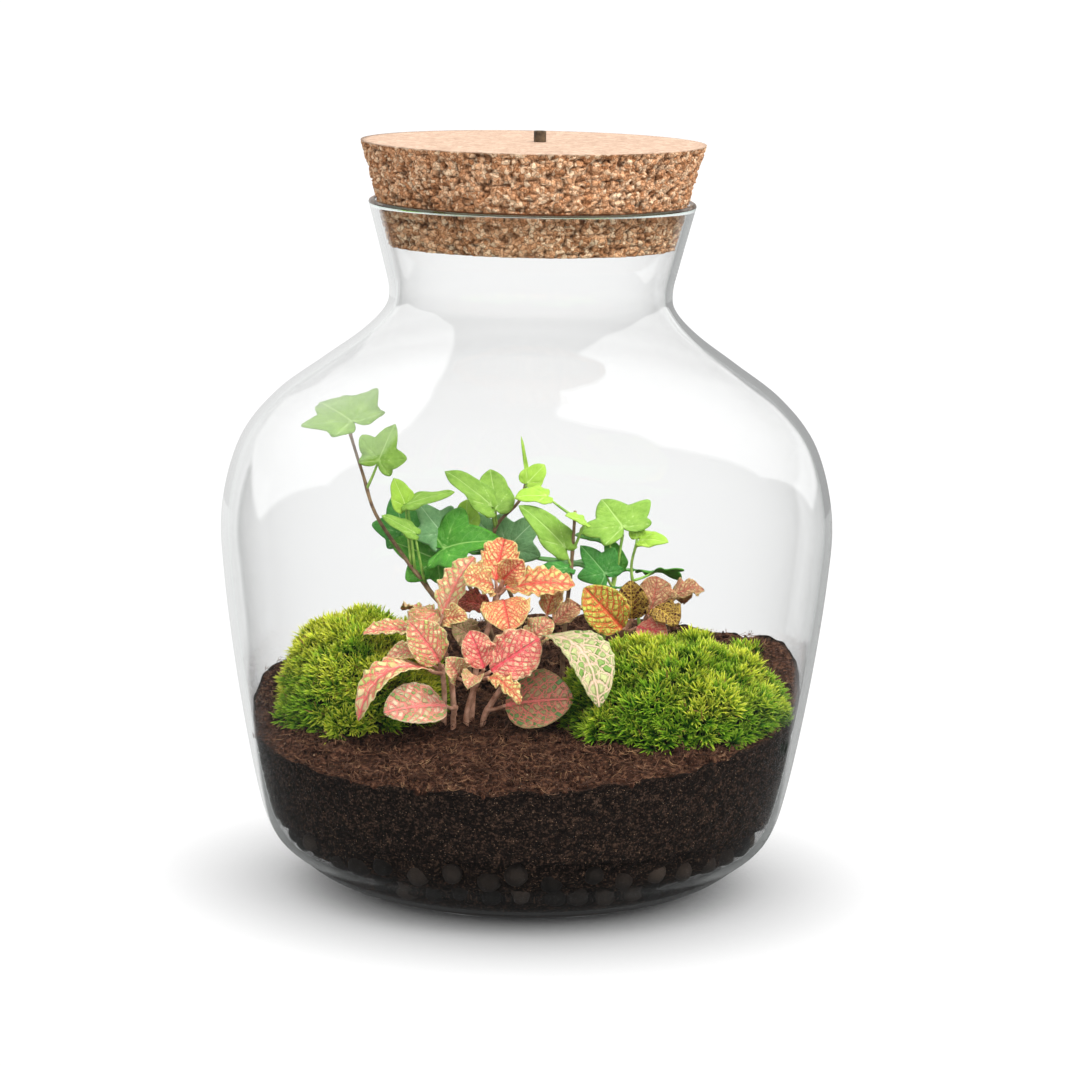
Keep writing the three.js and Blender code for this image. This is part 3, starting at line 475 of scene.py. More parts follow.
# A crumb is a ball of a few faces, dented and flattened at random.
CRUMBS, CRUMB_RADIUS = 3000, 1.7
crumb_ball, crumb_faces = ball(5, 6)
crumb_size = rng.uniform(0.35, 1.0, (CRUMBS, 1, 1)) ** 2 * CRUMB_RADIUS
crumbs = crumb_ball[None] * rng.uniform(0.6, 1.2, (CRUMBS, len(crumb_ball), 1)) * crumb_size
crumbs = crumbs * rng.uniform(0.6, 1.4, (CRUMBS, 1, 3))
crumb_points = (crumbs + (scattered(CRUMBS) + (0, 0, 0.5))[:, None]).reshape(-1, 3)

# A fibre is a narrow strip that wanders over the soil and lifts at its ends.
FIBRES, FIBRE_STEPS = 4500, 6
FIBRE_STRIDE, FIBRE_HALF, FIBRE_LIFT = (0.5, 1.9), (0.05, 0.15), 2.2  # step, half width, rise of its ends
start = scattered(FIBRES)
heading = np.cumsum(rng.normal(0, 0.35, (FIBRES, FIBRE_STEPS)), axis=1)
heading += rng.uniform(0, 2 * np.pi, (FIBRES, 1))
stride = rng.uniform(*FIBRE_STRIDE, (FIBRES, 1))
x = start[:, :1] + np.cumsum(stride * np.cos(heading), axis=1)
y = start[:, 1:2] + np.cumsum(stride * np.sin(heading), axis=1)
lift = rng.uniform(0, FIBRE_LIFT, (FIBRES, 1)) * np.linspace(-1, 1, FIBRE_STEPS) ** 2
lift += rng.uniform(0.6, 1.6, (FIBRES, 1))
limit = np.hypot(x, y) / (inside_radius(LITTER_HEIGHT) - 1.2)
x, y = x / np.maximum(limit, 1), y / np.maximum(limit, 1)
middle = np.stack([x, y, soil_height(x, y) + lift], axis=-1)
thick = np.stack([-np.sin(heading), np.cos(heading), 0.6 + 0 * x], axis=-1)
thick *= rng.uniform(*FIBRE_HALF, (FIBRES, 1, 1))
fibre_points = np.stack([middle - thick, middle + thick], axis=2).reshape(-1, 3)
fibre_faces = copies(np.zeros((2 * FIBRE_STEPS, 3)), [grid_faces(FIBRE_STEPS, 2)], FIBRES)

loose_soil = soil_material("potting_soil_loose", 800.0, "#180e09", "#3e261c", "#694735", 0.05)

# Coir fibre, dried: matt and light red-brown, some of it bleached straw.
coir = new_material("coir_fibre")
where = add(coir, "TexCoord")
patch = add(coir, "TexNoise", {"Vector": (where, "Object"), "Scale": 150.0, "Detail": 1.0})
coir_tone = add(coir, "ValToRGB", {0: patch}, [(0.35, "#321e15"), (0.55, "#62402e"), (0.75, "#94704f")])
coir_surface = add(coir, "BsdfPrincipled", {"Base Color": coir_tone, "Roughness": 0.8})
add(coir, "OutputMaterial", {"Surface": coir_surface})

make_piece(
    "soil_bed", soil_points, [soil_body[on_side], soil_body[~on_side], soil_caps], [loose_soil, packed_soil],
    ["potting_soil"], kinds=np.repeat([1, 0, 0], [on_side.sum(), (~on_side).sum(), len(soil_caps)]),
)
litter_faces = copies(crumb_ball, crumb_faces, CRUMBS) + [fibre_faces[0] + len(crumb_points)]
litter_kinds = body_numbers(litter_faces)
make_piece(
    "soil_litter", np.vstack([crumb_points, fibre_points]), litter_faces, [loose_soil, coir], [],
    kinds=litter_kinds,
)


# Moss: two cushions of living fork moss, pressed onto the soil. Each is a mass of upright shoots that end in
# a star of narrow leaves, yellow-green at the tips and dark green below.

MOSS_LEFT = {"centre": (-66, -5), "reach": (34, 33), "rise": 38, "sink": 6, "tufts": 9.3}
MOSS_RIGHT = {"centre": (60, -31), "reach": (47, 35), "rise": 31, "sink": 6, "tufts": 10.7}
STARS, STAR_LEAVES = 1000, 30
SHOOT_LENGTH, SHOOT_SPREAD = 6.2, 0.85
# The dark dome is painted shade, seen between the shoots.
DOME_SHARE, SHOOTS_AT = 0.93, (0.9, 0.975)  # the dark dome, and where shoots start, as shares of the cushion
CLUMP, CLUMP_RISE = 7, 2.4  # how wide a clump of shoots is, and how much higher it stands
MOSS_LEAF = [(0, 0.26), (0.5, 0.38), (0.82, 0.24)]  # share of a leaf's length, and half its width there
MOSS_LEAF_POINTS = 2 * len(MOSS_LEAF) + 1


def moss_dome(way, centre, reach, rise, sink, tufts):
    """Places on the cushion in these directions: an ellipsoid on the soil with waves for its tufts."""
    relief = np.sin(tufts * way[..., 0] + 0.6) * np.sin(tufts * way[..., 1] + 1.1)
    relief = relief + np.sin(tufts * (way[..., 2] - way[..., 0]))
    ground = soil_height(*centre) - sink
    place = way * (*reach, rise + sink) * (1 + 0.035 * relief)[..., None]
    return place + (*centre, ground)


def stars(place, up, seed):
    """Tufts of narrow curved leaves, each a strip of three rows that ends in a point.

    A leaf starts near its tuft's middle, leans out of it by up to its spread, and bends outwards.
    """
    rng = np.random.default_rng(seed)
    count, leaves = len(place), STAR_LEAVES
    side = unit(np.cross(up, rng.normal(size=(count, 3))))
    other = np.cross(up, side)
    turn = rng.uniform(0, 2 * np.pi, (count, leaves, 1))
    away = side[:, None] * np.cos(turn) + other[:, None] * np.sin(turn)
    lean = SHOOT_SPREAD * np.sqrt(rng.uniform(0.02, 1, (count, leaves, 1)))
    long = SHOOT_LENGTH * rng.uniform(0.6, 1.15, (count, leaves, 1))
    ahead = unit(up[:, None] + lean * away)
    flat = np.cross(ahead, away)
    flat /= np.maximum(np.linalg.norm(flat, axis=-1), 1e-6)[..., None]
    rows = []
    for share, half in MOSS_LEAF:
        middle = place[:, None] + 0.4 * away + long * (share * ahead + 0.3 * lean * share**2 * away)
        rows += [middle - half * flat, middle + half * flat]
    tip = place[:, None] + 0.4 * away + long * (ahead + 0.3 * lean * away)
    points = np.stack([*rows, tip], axis=2).reshape(-1, 3)
    shape = np.zeros((MOSS_LEAF_POINTS, 3))
    faces = copies(shape, [np.array([[0, 1, 3, 2], [2, 3, 5, 4]]), np.array([[4, 5, 6]])], count * leaves)
    along = np.tile([*np.repeat([share for share, _ in MOSS_LEAF], 2), 1.0], count * leaves)
    tone = np.repeat(rng.uniform(0, 1, count * leaves), MOSS_LEAF_POINTS)
    tuft = np.repeat(rng.uniform(0, 1, count), MOSS_LEAF_POINTS * leaves)
    return points, faces, np.stack([along, tone, tuft], axis=-1)


def living(leaf_skin, share, colour, finish, relief=None):
    """Ends the material of a thin living leaf: this share of its light is what glows through it."""
    bent = {} if relief is None else {"Normal": relief}
    surface = add(leaf_skin, "BsdfPrincipled", {"Base Color": colour, **finish, **bent})
    glow = add(leaf_skin, "BsdfTranslucent", {"Color": colour, **bent})
    both = add(leaf_skin, "MixShader", {0: share, 1: surface, 2: glow})
    add(leaf_skin, "OutputMaterial", {"Surface": both})


# Living moss: each leaf is one cell thick, so light glows through its tip; its base is painted dark, as
# shade, and the lower shoots and the gaps between clumps are painted darker still.
moss = new_material("fork_moss_living")
mark = add(moss, "Attribute", attribute_name="growth_and_shade")
growth_and_shade = add(moss, "SeparateXYZ", {0: (mark, "Vector")})
where = add(moss, "TexCoord")
patch = add(moss, "TexNoise", {"Vector": (where, "Object"), "Scale": 55.0, "Detail": 2.0})
young = [(0, "#0c1a03"), (0.5, "#6e8e1a"), (0.85, "#d8d83e"), (1, "#eeec84")]
young = add(moss, "ValToRGB", {0: (growth_and_shade, "X")}, young)
old = [(0, "#061202"), (0.5, "#2e640c"), (0.85, "#84ac20"), (1, "#bccc54")]
old = add(moss, "ValToRGB", {0: (growth_and_shade, "X")}, old)
mixed = add(moss, "Math", {0: (growth_and_shade, "Z"), 1: patch}, operation="ADD")
age_and_shade = add(moss, "MapRange", {"Value": mixed, "From Min": 0.75, "From Max": 1.25})
moss_tone = add(moss, "MixRGB", {0: age_and_shade, 1: young, 2: old})
brown = add(moss, "Math", {0: (growth_and_shade, "Y"), 1: 0.985}, operation="GREATER_THAN")
moss_colour = add(moss, "MixRGB", {0: brown, 1: moss_tone, 2: linear("#8a6a3a")})
living(moss, 0.3, moss_colour, {"Roughness": 0.6, "Specular IOR Level": 0.3})


def moss_cushion(name, node, shape, seed, age, extra=None):
    """A dark dome just inside the cushion's form, painted shade between the shoots, with stars of leaves all
    over it, the lower ones painted darker as shade.

    age is added to how old they look, and extra are further places for stars.
    """
    way, dome_faces = ball(33, 48)
    dome = moss_dome(way, **shape)
    middle = np.array((*shape["centre"], soil_height(*shape["centre"])))
    dome = middle + (dome - middle) * DOME_SHARE
    # Directions even over the ball's upper part: equal steps in height, and the golden angle round it.
    k = np.arange(STARS) + 0.5
    height = 1 - 1.25 * k / STARS
    way = polar(np.sqrt(np.clip(1 - height**2, 0, 1)), np.pi * (3 - np.sqrt(5)) * k, height)
    rng = np.random.default_rng(seed)
    way = unit(way + rng.normal(0, 0.018, way.shape))
    place = middle + (moss_dome(way, **shape) - middle) * rng.uniform(*SHOOTS_AT, (STARS, 1))
    up = way / (*shape["reach"], shape["rise"] + shape["sink"])
    up = unit(unit(up) + (0, 0, 0.35) + rng.normal(0, 0.16, up.shape))
    above = place[:, 2] > soil_height(place[:, 0], place[:, 1]) + 0.2
    place, up = place[above], up[above]
    if extra is not None:
        place = np.vstack([place, extra])
        up = np.vstack([up, np.tile((0.0, 0.0, 1.0), (len(extra), 1))])
    # Shoots grow in clumps: some stand higher than those in the gaps between them, and painted light and
    # shade colour the high clumps lighter and the gaps darker.
    clump = noise(place, CLUMP, seed)
    place = place + CLUMP_RISE * clump[:, None] * up
    star_points, star_faces, growth_and_shade = stars(place, up, seed)
    # Painted shade: the lower a leaf stands on the cushion, the darker its colour.
    low = np.clip(1 - (star_points[:, 2] - middle[2]) / shape["rise"], 0, 1)
    clump_light_and_shade = 0.45 * np.repeat(clump, MOSS_LEAF_POINTS * STAR_LEAVES)
    growth_and_shade[:, 2] = 0.75 * growth_and_shade[:, 2] + 0.5 * low**2 + age - clump_light_and_shade
    limit = from_axis(star_points) / (inside_radius(star_points[:, 2]) - 0.4)
    star_points[:, :2] /= np.maximum(limit, 1)[:, None]
    # Along the glass no shoot hangs below the soil's edge.
    ground = soil_height(star_points[:, 0], star_points[:, 1])
    star_points[:, 2] = np.maximum(star_points[:, 2], np.where(limit > 0.96, ground, 0))
    points = np.vstack([dome, star_points])
    # The dome takes the darkest colour of a leaf's base, as painted shade.
    marks = np.vstack([np.tile((0.0, 0.5, 0.5), (len(dome), 1)), growth_and_shade])
    make_piece(
        name, points, dome_faces + [f + len(dome) for f in star_faces], [moss], [node],
        {"growth_and_shade": marks},
    )


moss_cushion("moss_cushion_left", "moss_left", MOSS_LEFT, 21, -0.1)
# A few loose shoots stand in the soil behind the right cushion.
sprigs = np.array([(70, 12), (74, 15), (72, 10), (90, 14), (93, 17), (91, 11), (96, 15), (71, 14)], float)
sprig_height = np.repeat([[0.5], [3.0], [5.5]], len(sprigs), axis=0)
sprig_xy = np.tile(sprigs, (3, 1))
sprig_places = np.hstack([sprig_xy, soil_height(*sprig_xy.T)[:, None] + sprig_height])
moss_cushion("moss_cushion_right", "moss_right", MOSS_RIGHT, 22, 0.15, sprig_places)


# Nerve plants: eight leafy stems of a small-leaved nerve plant, planted in the soil between the moss. Each
# stem carries oval leaves with a frilled margin and a net of coloured veins, and is one piece with them.


def along_path(path, share):
    """The point at this share of a path's length."""
    run = np.concatenate([[0], np.cumsum(np.linalg.norm(np.diff(path, axis=0), axis=1))])
    return np.array([np.interp(share * run[-1], run, path[:, k]) for k in range(3)])


def tube(path, radius, sides=8):
    """A round bar whose rings stand square to a path, with a radius for each of its points."""
    ahead = unit(np.gradient(path, axis=0))
    side = unit(np.cross(ahead, (0.37, 0.81, 0.12)))
    other = np.cross(ahead, side)
    turn = angles(sides)
    spoke = side[:, None] * np.cos(turn)[:, None] + other[:, None] * np.sin(turn)[:, None]
    return closed_rings(path[:, None] + np.reshape(radius, (-1, 1, 1)) * spoke, path[0], path[-1])


def joined(parts):
    """Points, faces, marks and material numbers of several shapes as those of one.

    A part is its points, its faces, its marks and the number of its material.
    """
    shift = np.cumsum([0] + [len(points) for points, *_ in parts])
    points = np.vstack([points for points, *_ in parts])
    faces = [f + s for (_, faces, *_), s in zip(parts, shift) for f in faces]
    kinds = np.concatenate([np.full(len(f), kind) for _, faces, _, kind in parts for f in faces])
    wide = {mark: value.shape[1] for _, _, marks, _ in parts for mark, value in marks.items()}
    marks = {
        mark: np.vstack([marks.get(mark, np.zeros((len(points), width))) for points, _, marks, _ in parts])
        for mark, width in wide.items()
    }
    return points, faces, marks, kinds


STEM_DEPTH, STEM_RINGS = 12, 40
KNOT, KNOT_SWELL = 0.02, 0.22  # reach of a knot as a share of the stem, and how much it thickens it
LEAF_ROWS, LEAF_COLUMNS = 44, 19
LEAF_HALF = 0.25  # half the thickness of a leaf's blade
RUFFLE = 5.4  # length of a ruffle along a nerve leaf's margin
VEIN_PAIRS, VEIN_CURVE = 7, 0.55  # side veins of a nerve leaf, and how far they run ahead on their way out
VEIN_BOW = 2.2  # how much further ahead they run near the margin
NET_CELLS = 11  # cells of a nerve leaf's net, along the leaf
BLADE, STALK, BARK = 0, 1, 2  # numbers of a plant's materials
LEAF_COLOURS = ("skin", "margin", "veins", "island")
# Outline of a nerve leaf: share of its length, and half width there as a share of the widest.
NERVE_OUTLINE = [
    (0, 0.12), (0.12, 0.62), (0.3, 0.92), (0.5, 1), (0.68, 0.93), (0.84, 0.68), (0.94, 0.4), (1, 0.08),
]
nerve_outline = spline(NERVE_OUTLINE, 12)


def stem_path(route):
    """A stem's path: straight up out of the soil, then through its route."""
    (x, y), *higher = route
    ground = soil_height(x, y)
    return spline([(x, y, ground - STEM_DEPTH), (x, y, ground + 1.5), *higher], 10, power=0.5)


def stalk(root, heart, start, end):
    """A leaf's stalk: a thin tube that bows a little on its way from the stem to the blade."""
    share = np.linspace(0, 1, 7)[:, None]
    path = root + share * (heart - root) - 4 * share * (1 - share) * (0, 0, 0.5)
    return tube(path, start + (end - start) * share[:, 0], 6)


def blade_ways(blade):
    """The ways along a blade, across it and out of its upper face, and its length."""
    run = blade["tip"] - blade["heart"]
    along = unit(run)
    across = unit(np.cross(blade["face"], along))
    return along, across, np.cross(along, across), np.linalg.norm(run)


def coloured(points, faces, marks, look):
    """A blade as a part for joined, which keeps the four colours of its look at all its points."""
    for name, code in zip(LEAF_COLOURS, look):
        marks[name] = np.tile(linear(code), (len(points), 1))
    return points, faces, marks, BLADE


def nerve_leaf(blade, look, number):
    """The blade of a nerve leaf, skinned on both faces.

    It runs from the heart to the tip. Its half width follows the outline, with small scallops; it rises by
    4 arch u (1 - u) along the midrib and by its cup towards the margin, where it is frilled. Between the
    side veins it swells by a cosine, and slow waves crumple it.
    """
    heart, tip = blade["heart"], blade["tip"]
    arch, cup, frill = blade.get("arch", 2), blade.get("cup", 0.24), blade.get("frill", 0.9)
    _, across, out, length = blade_ways(blade)
    u, v = np.linspace(0, 1, LEAF_ROWS)[:, None], np.linspace(1, -1, LEAF_COLUMNS)[None]
    turns = 2 * np.pi * length / RUFFLE * u + 2.1 * number + 1.3 * np.sign(v)
    waves = np.sin(turns) + 0.5 * np.sin(1.7 * turns + number)
    half = blade["width"] / 2 * np.interp(u, *nerve_outline.T) * (1 + 0.03 * frill * (waves + 0.3))
    margin = np.abs(v) ** 3 * np.sin(np.pi * np.clip(u, 0.04, 0.97)) ** 0.5
    lift = 4 * arch * u * (1 - u) + np.abs(v) ** 1.4 * cup * half + 1.1 * frill * margin * waves
    lift = lift - 0.25 * (1 - np.abs(v)) ** 6 * np.sin(np.pi * u)
    beside = np.abs(half * v) / length
    ahead = u - beside * (VEIN_CURVE + VEIN_BOW * beside)
    lift = lift + 0.3 * np.cos(2 * np.pi * VEIN_PAIRS * ahead) * np.clip(np.sin(np.pi * u), 0, 1) ** 0.5
    lift = lift + 0.45 * frill * np.sin(9 * u + 3.1 * number) * np.sin(2.4 * v + number)
    place = (heart + u[..., None] * (tip - heart)) + across * (half * v)[..., None] + out * lift[..., None]
    step = LEAF_HALF * out
    rings = np.concatenate([place + step, (place - step)[:, ::-1]], axis=1)
    points, faces = closed_rings(rings, heart, place[-1, len(v[0]) // 2])
    marks = np.stack([u + 0 * v, beside, np.abs(v) + 0 * u], axis=-1)
    marks = np.concatenate([marks, marks[:, ::-1]], axis=1).reshape(-1, 3)
    return coloured(points, faces, {"place": np.vstack([marks, marks[[0, -1]]])}, look)


# The flush along the veins, the margin, the veins and the islands between them, for each kind of leaf: young
# leaves are coral or pink with a yellow edge, old ones turn olive and green.
NERVE_LOOKS = {
    "coral": ("#f98278", "#f8e09a", "#e64a40", "#f4d488"),
    "cream": ("#f6b48c", "#f4e4a0", "#da5644", "#e4d888"),
    "orange": ("#f89880", "#f2dc94", "#e4564a", "#e2ce7c"),
    "salmon": ("#f6a292", "#eedca4", "#e86264", "#bcc670"),
    "dark_red": ("#b05444", "#b87850", "#d86a5c", "#7d4634"),
    "olive": ("#b2a870", "#cdb888", "#d29a84", "#929a58"),
    "peach": ("#f6b8a0", "#f2e2a8", "#ea766c", "#c6d080"),
    "pink": ("#f98888", "#f8e0ae", "#ea4858", "#fab090"),
    "dark_green": ("#cc8670", "#bca676", "#ec7a74", "#6e9656"),
    "pale_green": ("#b2b878", "#ccca92", "#e6baaa", "#7ca04c"),
    "striped": ("#f2a898", "#eed8b4", "#ea7876", "#8eae64"),
    "red_net": ("#e6a25c", "#dcd666", "#e04a38", "#ced25c"),
    "maroon": ("#6e322a", "#96703a", "#dcb654", "#4a2620"),
    "brown_pink": ("#cc9478", "#dcbc86", "#b45a4a", "#b49a6c"),
}


def leaf(look, at, heart, tip, face, **form):
    """A leaf: its colours, its place on the stem, its blade's two ends, its upper face and its form."""
    heart, tip = np.array(heart, float), np.array(tip, float)
    return {"look": look, "at": at, "heart": heart, "tip": tip, "face": face, **form}


NERVE_STEMS = [
    {
        "name": "nerve_stem_1", "thick": 1.5,
        "route": [(-21, -23), (-19, -23, 95), (-14, -21, 112), (-11, -20, 126)],
        "leaves": [
            leaf("coral", 0.97, (-12, -22, 129), (-9, -9, 144), (0, -0.8, 0.7), width=15, frill=1.3),
            leaf("cream", 0.95, (-13, -25, 126), (-25, -35, 133), (-0.3, -0.8, 0.7), width=15, frill=1.3),
            leaf("coral", 0.97, (-9, -25, 130), (-1, -31, 139), (0.3, -0.9, 0.5), width=12, frill=1.3),
            leaf("orange", 0.95, (-8, -22, 126), (20, -24, 128), (0, -0.6, 0.8), width=15),
            leaf("coral", 0.9, (-9, -27, 122), (-6, -41, 112), (0, -0.8, 0.6), width=20, arch=3),
            leaf("dark_red", 0.84, (-14, -19, 117), (-30, -14, 118), (0, -0.6, 0.8), width=12),
            leaf("olive", 0.66, (-20, -29, 106), (-29, -34, 113), (-0.3, -0.8, 0.5), width=12),
            leaf("orange", 0.9, (-9, -15, 126), (-4, 2, 128), (0, 0.4, 0.9), width=14, arch=3),
        ],
    },
    {
        "name": "nerve_stem_2", "thick": 1.4,
        "route": [(-28, -23), (-30, -24, 92), (-33, -28, 104), (-34, -29, 114)],
        "leaves": [
            leaf("peach", 0.97, (-33, -28, 116), (-21, -19, 138), (-0.6, -0.8, 0.3), width=14),
            leaf("salmon", 0.95, (-36, -31, 117), (-44, -37, 109), (-0.4, -0.7, 0.6), width=15),
            leaf("cream", 0.93, (-33, -35, 114), (-23, -42, 118), (0, -0.8, 0.7), width=10, frill=1.3),
            leaf("salmon", 0.72, (-42, -28, 108), (-65, -32, 108), (0, -0.25, 1), width=13, frill=0.4),
            leaf("salmon", 0.8, (-36, -21, 110), (-50, -8, 114), (0, 0.2, 1), width=15, arch=3),
        ],
    },
    {
        "name": "nerve_stem_3", "thick": 1.4,
        "route": [(-32, -30), (-32, -33, 86), (-33, -37, 97)],
        "leaves": [
            leaf("salmon", 0.96, (-34, -41, 99), (-46, -46, 116), (0.4, -0.9, 0.2), width=17, frill=0.5),
            leaf("peach", 0.92, (-38, -38, 99), (-55, -45, 101), (0, -0.5, 0.9), width=11, arch=4, frill=0.4),
            leaf(
                "salmon", 0.9, (-38, -46, 97), (-65, -61, 79), (-0.3, -0.4, 0.9), width=15, arch=11,
                frill=0.4,
            ),
        ],
    },
    {
        "name": "nerve_stem_4", "thick": 1.5,
        "route": [(-23, -33), (-21, -36, 84), (-17, -43, 95)],
        "leaves": [
            leaf("peach", 0.85, (-27, -46, 94), (-31, -53, 103), (0, -0.8, 0.6), width=11, cup=0.5),
            leaf("pink", 0.96, (-16, -46, 98), (-22, -46, 113), (0.2, -1, 0.1), width=13, frill=1.3),
            leaf("pink", 0.97, (-13, -46, 97), (6, -44, 110), (-0.1, -1, 0.2), width=20, frill=1.1),
            leaf("cream", 0.95, (-14, -50, 95), (-1, -60, 87), (0.2, -0.6, 0.8), width=8, arch=3, frill=1.3),
            leaf("peach", 0.93, (-19, -49, 95), (-22, -58, 92), (0, -0.5, 0.9), width=9, cup=0.5),
        ],
    },
    {
        "name": "nerve_stem_5", "thick": 1.5,
        "route": [(-28, -36), (-28, -38, 77), (-27, -40, 81)],
        "leaves": [
            leaf("striped", 0.95, (-31, -45, 82), (-55, -60, 82), (-0.1, -0.75, 0.65), width=20, frill=0.2),
        ],
    },
    {
        "name": "nerve_stem_6", "thick": 1.4,
        "route": [(-16, -29), (-13, -30, 80), (-4, -30, 94), (3, -30, 106)],
        "leaves": [
            leaf("dark_green", 0.35, (-7, -37, 81), (20, -46, 86), (-0.2, -0.85, 0.5), width=25, frill=0.2),
            leaf(
                "pale_green", 0.97, (8, -34, 109), (30, -60, 86), (0.5, -0.6, 0.75), width=24, arch=11,
                frill=0.3,
            ),
            leaf("peach", 0.7, (1, -27, 103), (11, -24, 114), (-0.2, -0.8, 0.5), width=12),
            leaf("cream", 0.95, (9, -19, 115), (14, -14, 126), (-0.3, -0.8, 0.5), width=10),
            leaf("brown_pink", 0.9, (12, -22, 112), (22, -18, 119), (0, -0.7, 0.7), width=10),
        ],
    },
    {
        "name": "nerve_stem_7", "thick": 1.4,
        "route": [(36, 12), (38, 8, 96), (42, -2, 108)],
        "leaves": [
            leaf("red_net", 0.95, (40, -9, 108), (24, -18, 126), (-0.2, -0.9, 0.4), width=18, frill=0.5),
            leaf("maroon", 0.96, (44, -3, 111), (43, -6, 127), (0, -0.9, 0.1), width=14, cup=0.5),
            leaf("pink", 0.9, (46, -7, 108), (58, -14, 105), (0.1, -0.7, 0.7), width=12),
            leaf("orange", 0.85, (35, 4, 107), (20, 8, 112), (0, 0.1, 1), width=14, arch=3),
        ],
    },
    {
        "name": "nerve_stem_8", "thick": 1.4,
        "route": [(47, 13), (49, 9, 100), (51, 3, 112), (57, 4, 117)],
        "leaves": [
            leaf("brown_pink", 0.8, (51, 0, 112), (54, 5, 127), (0.3, -0.9, 0.3), width=16, cup=0.45),
            leaf("brown_pink", 0.97, (60, 4, 118), (74, 8, 121), (0, -0.5, 0.9), width=10, arch=3),
            leaf("maroon", 0.7, (53, -6, 116), (62, -16, 111), (0.2, -0.8, 0.6), width=13),
            leaf("brown_pink", 0.85, (59, 9, 116), (66, 22, 113), (0.1, 0.3, 1), width=14, arch=3),
        ],
    },
]


def vein_distances(material, pairs, curve, net_cells):
    """How far the midrib, the side veins and the net are, from the place along, U, and beside, V, the midrib.

    The midrib narrows towards the tip. The side veins are where pairs x (U - curve V - bow V^2) passes a
    half number, and the net lies on the edges of small cells.
    """
    place = add(material, "Attribute", attribute_name="place")
    rough = add(material, "TexNoise", {"Vector": (place, "Vector"), "Scale": 7.0, "Detail": 2.0})
    shaken = add(material, "Math", {0: rough, 1: 0.11, 2: -0.055}, operation="MULTIPLY_ADD")
    axes = add(material, "SeparateXYZ", {0: (place, "Vector")})
    narrow = add(material, "Math", {0: (axes, "X"), 1: 1.6, 2: 1.0}, operation="MULTIPLY_ADD")
    rib = add(material, "Math", {0: (axes, "Y"), 1: narrow}, operation="MULTIPLY")
    bow = add(material, "Math", {0: (axes, "Y"), 1: VEIN_BOW, 2: curve}, operation="MULTIPLY_ADD")
    slant = add(material, "Math", {0: (axes, "Y"), 1: bow}, operation="MULTIPLY")
    ahead = add(material, "Math", {0: (axes, "X"), 1: slant}, operation="SUBTRACT")
    ahead = add(material, "Math", {0: ahead, 1: shaken}, operation="ADD")
    turns = add(material, "Math", {0: ahead, 1: float(pairs)}, operation="MULTIPLY")
    part = add(material, "Math", {0: turns}, operation="FRACT")
    off = add(material, "Math", {0: part, 1: 0.5}, operation="SUBTRACT")
    side = add(material, "Math", {0: off}, operation="ABSOLUTE")
    flat = add(material, "CombineXYZ", {"X": (axes, "X"), "Y": (axes, "Y"), "Z": shaken})
    net = add(material, "TexVoronoi", {"Vector": flat, "Scale": float(net_cells)}, feature="DISTANCE_TO_EDGE")
    return axes, flat, (rib, side, net)


def near_veins(material, distances, widths):
    """From 0 to 1, how near a vein is; widths give where each kind starts, where it is full and its share."""
    nearest = 0.0
    for distance, (start, full, share) in zip(distances, widths):
        part = add(
            material,
            "MapRange",
            {"Value": distance, "From Min": start, "From Max": full, "To Max": share},
            interpolation_type="SMOOTHSTEP",
        )
        nearest = add(material, "Math", {0: nearest, 1: part}, operation="MAXIMUM")
    return nearest


# Nerve leaf, living: soft and satin, quilted between sunken veins, with light glowing through it.
nerve_skin = new_material("nerve_leaf_living")
axes, flat, distances = vein_distances(nerve_skin, VEIN_PAIRS, VEIN_CURVE, NET_CELLS)
line = near_veins(nerve_skin, distances, ((0.036, 0.01, 0.9), (0.12, 0.035, 0.85), (0.09, 0.02, 0.8)))
flush = near_veins(nerve_skin, distances, ((0.09, 0.02, 0.9), (0.2, 0.08, 0.65), (0.18, 0.06, 0.4)))
skin, margin, vein_colour, island = (
    add(nerve_skin, "Attribute", attribute_name=name) for name in LEAF_COLOURS
)
cell = add(nerve_skin, "TexVoronoi", {"Vector": flat, "Scale": float(NET_CELLS)})
cell_shade = add(nerve_skin, "SeparateColor", {0: (cell, "Color")})
yellowed = add(nerve_skin, "MapRange", {"Value": cell_shade, "From Min": 0.35, "From Max": 0.9})
islands = add(nerve_skin, "MixRGB", {0: yellowed, 1: (island, "Color"), 2: (margin, "Color")})
fade = add(nerve_skin, "MapRange", {"Value": (axes, "Z"), "From Min": 0.9, "From Max": 0.3, "To Min": 0.3})
flushed = add(nerve_skin, "Math", {0: flush, 1: fade}, operation="MULTIPLY")
middle = add(nerve_skin, "MapRange", {"Value": (axes, "Z"), "From Min": 0.65, "From Max": 0.1, "To Max": 0.5})
flushed = add(nerve_skin, "Math", {0: flushed, 1: middle}, operation="MAXIMUM")
ground = add(nerve_skin, "MixRGB", {0: flushed, 1: islands, 2: (skin, "Color")})
veined = add(nerve_skin, "MixRGB", {0: line, 1: ground, 2: (vein_colour, "Color")})
edge = add(nerve_skin, "MapRange", {"Value": (axes, "Z"), "From Min": 0.9, "From Max": 0.98, "To Max": 0.8})
leaf_colour = add(nerve_skin, "MixRGB", {0: edge, 1: veined, 2: (margin, "Color")})
sunken = add(nerve_skin, "Bump", {"Height": flush, "Strength": 1.0, "Distance": 0.0013}, invert=True)
living(nerve_skin, 0.2, leaf_colour, {"Roughness": 0.45, "IOR": 1.42}, sunken)


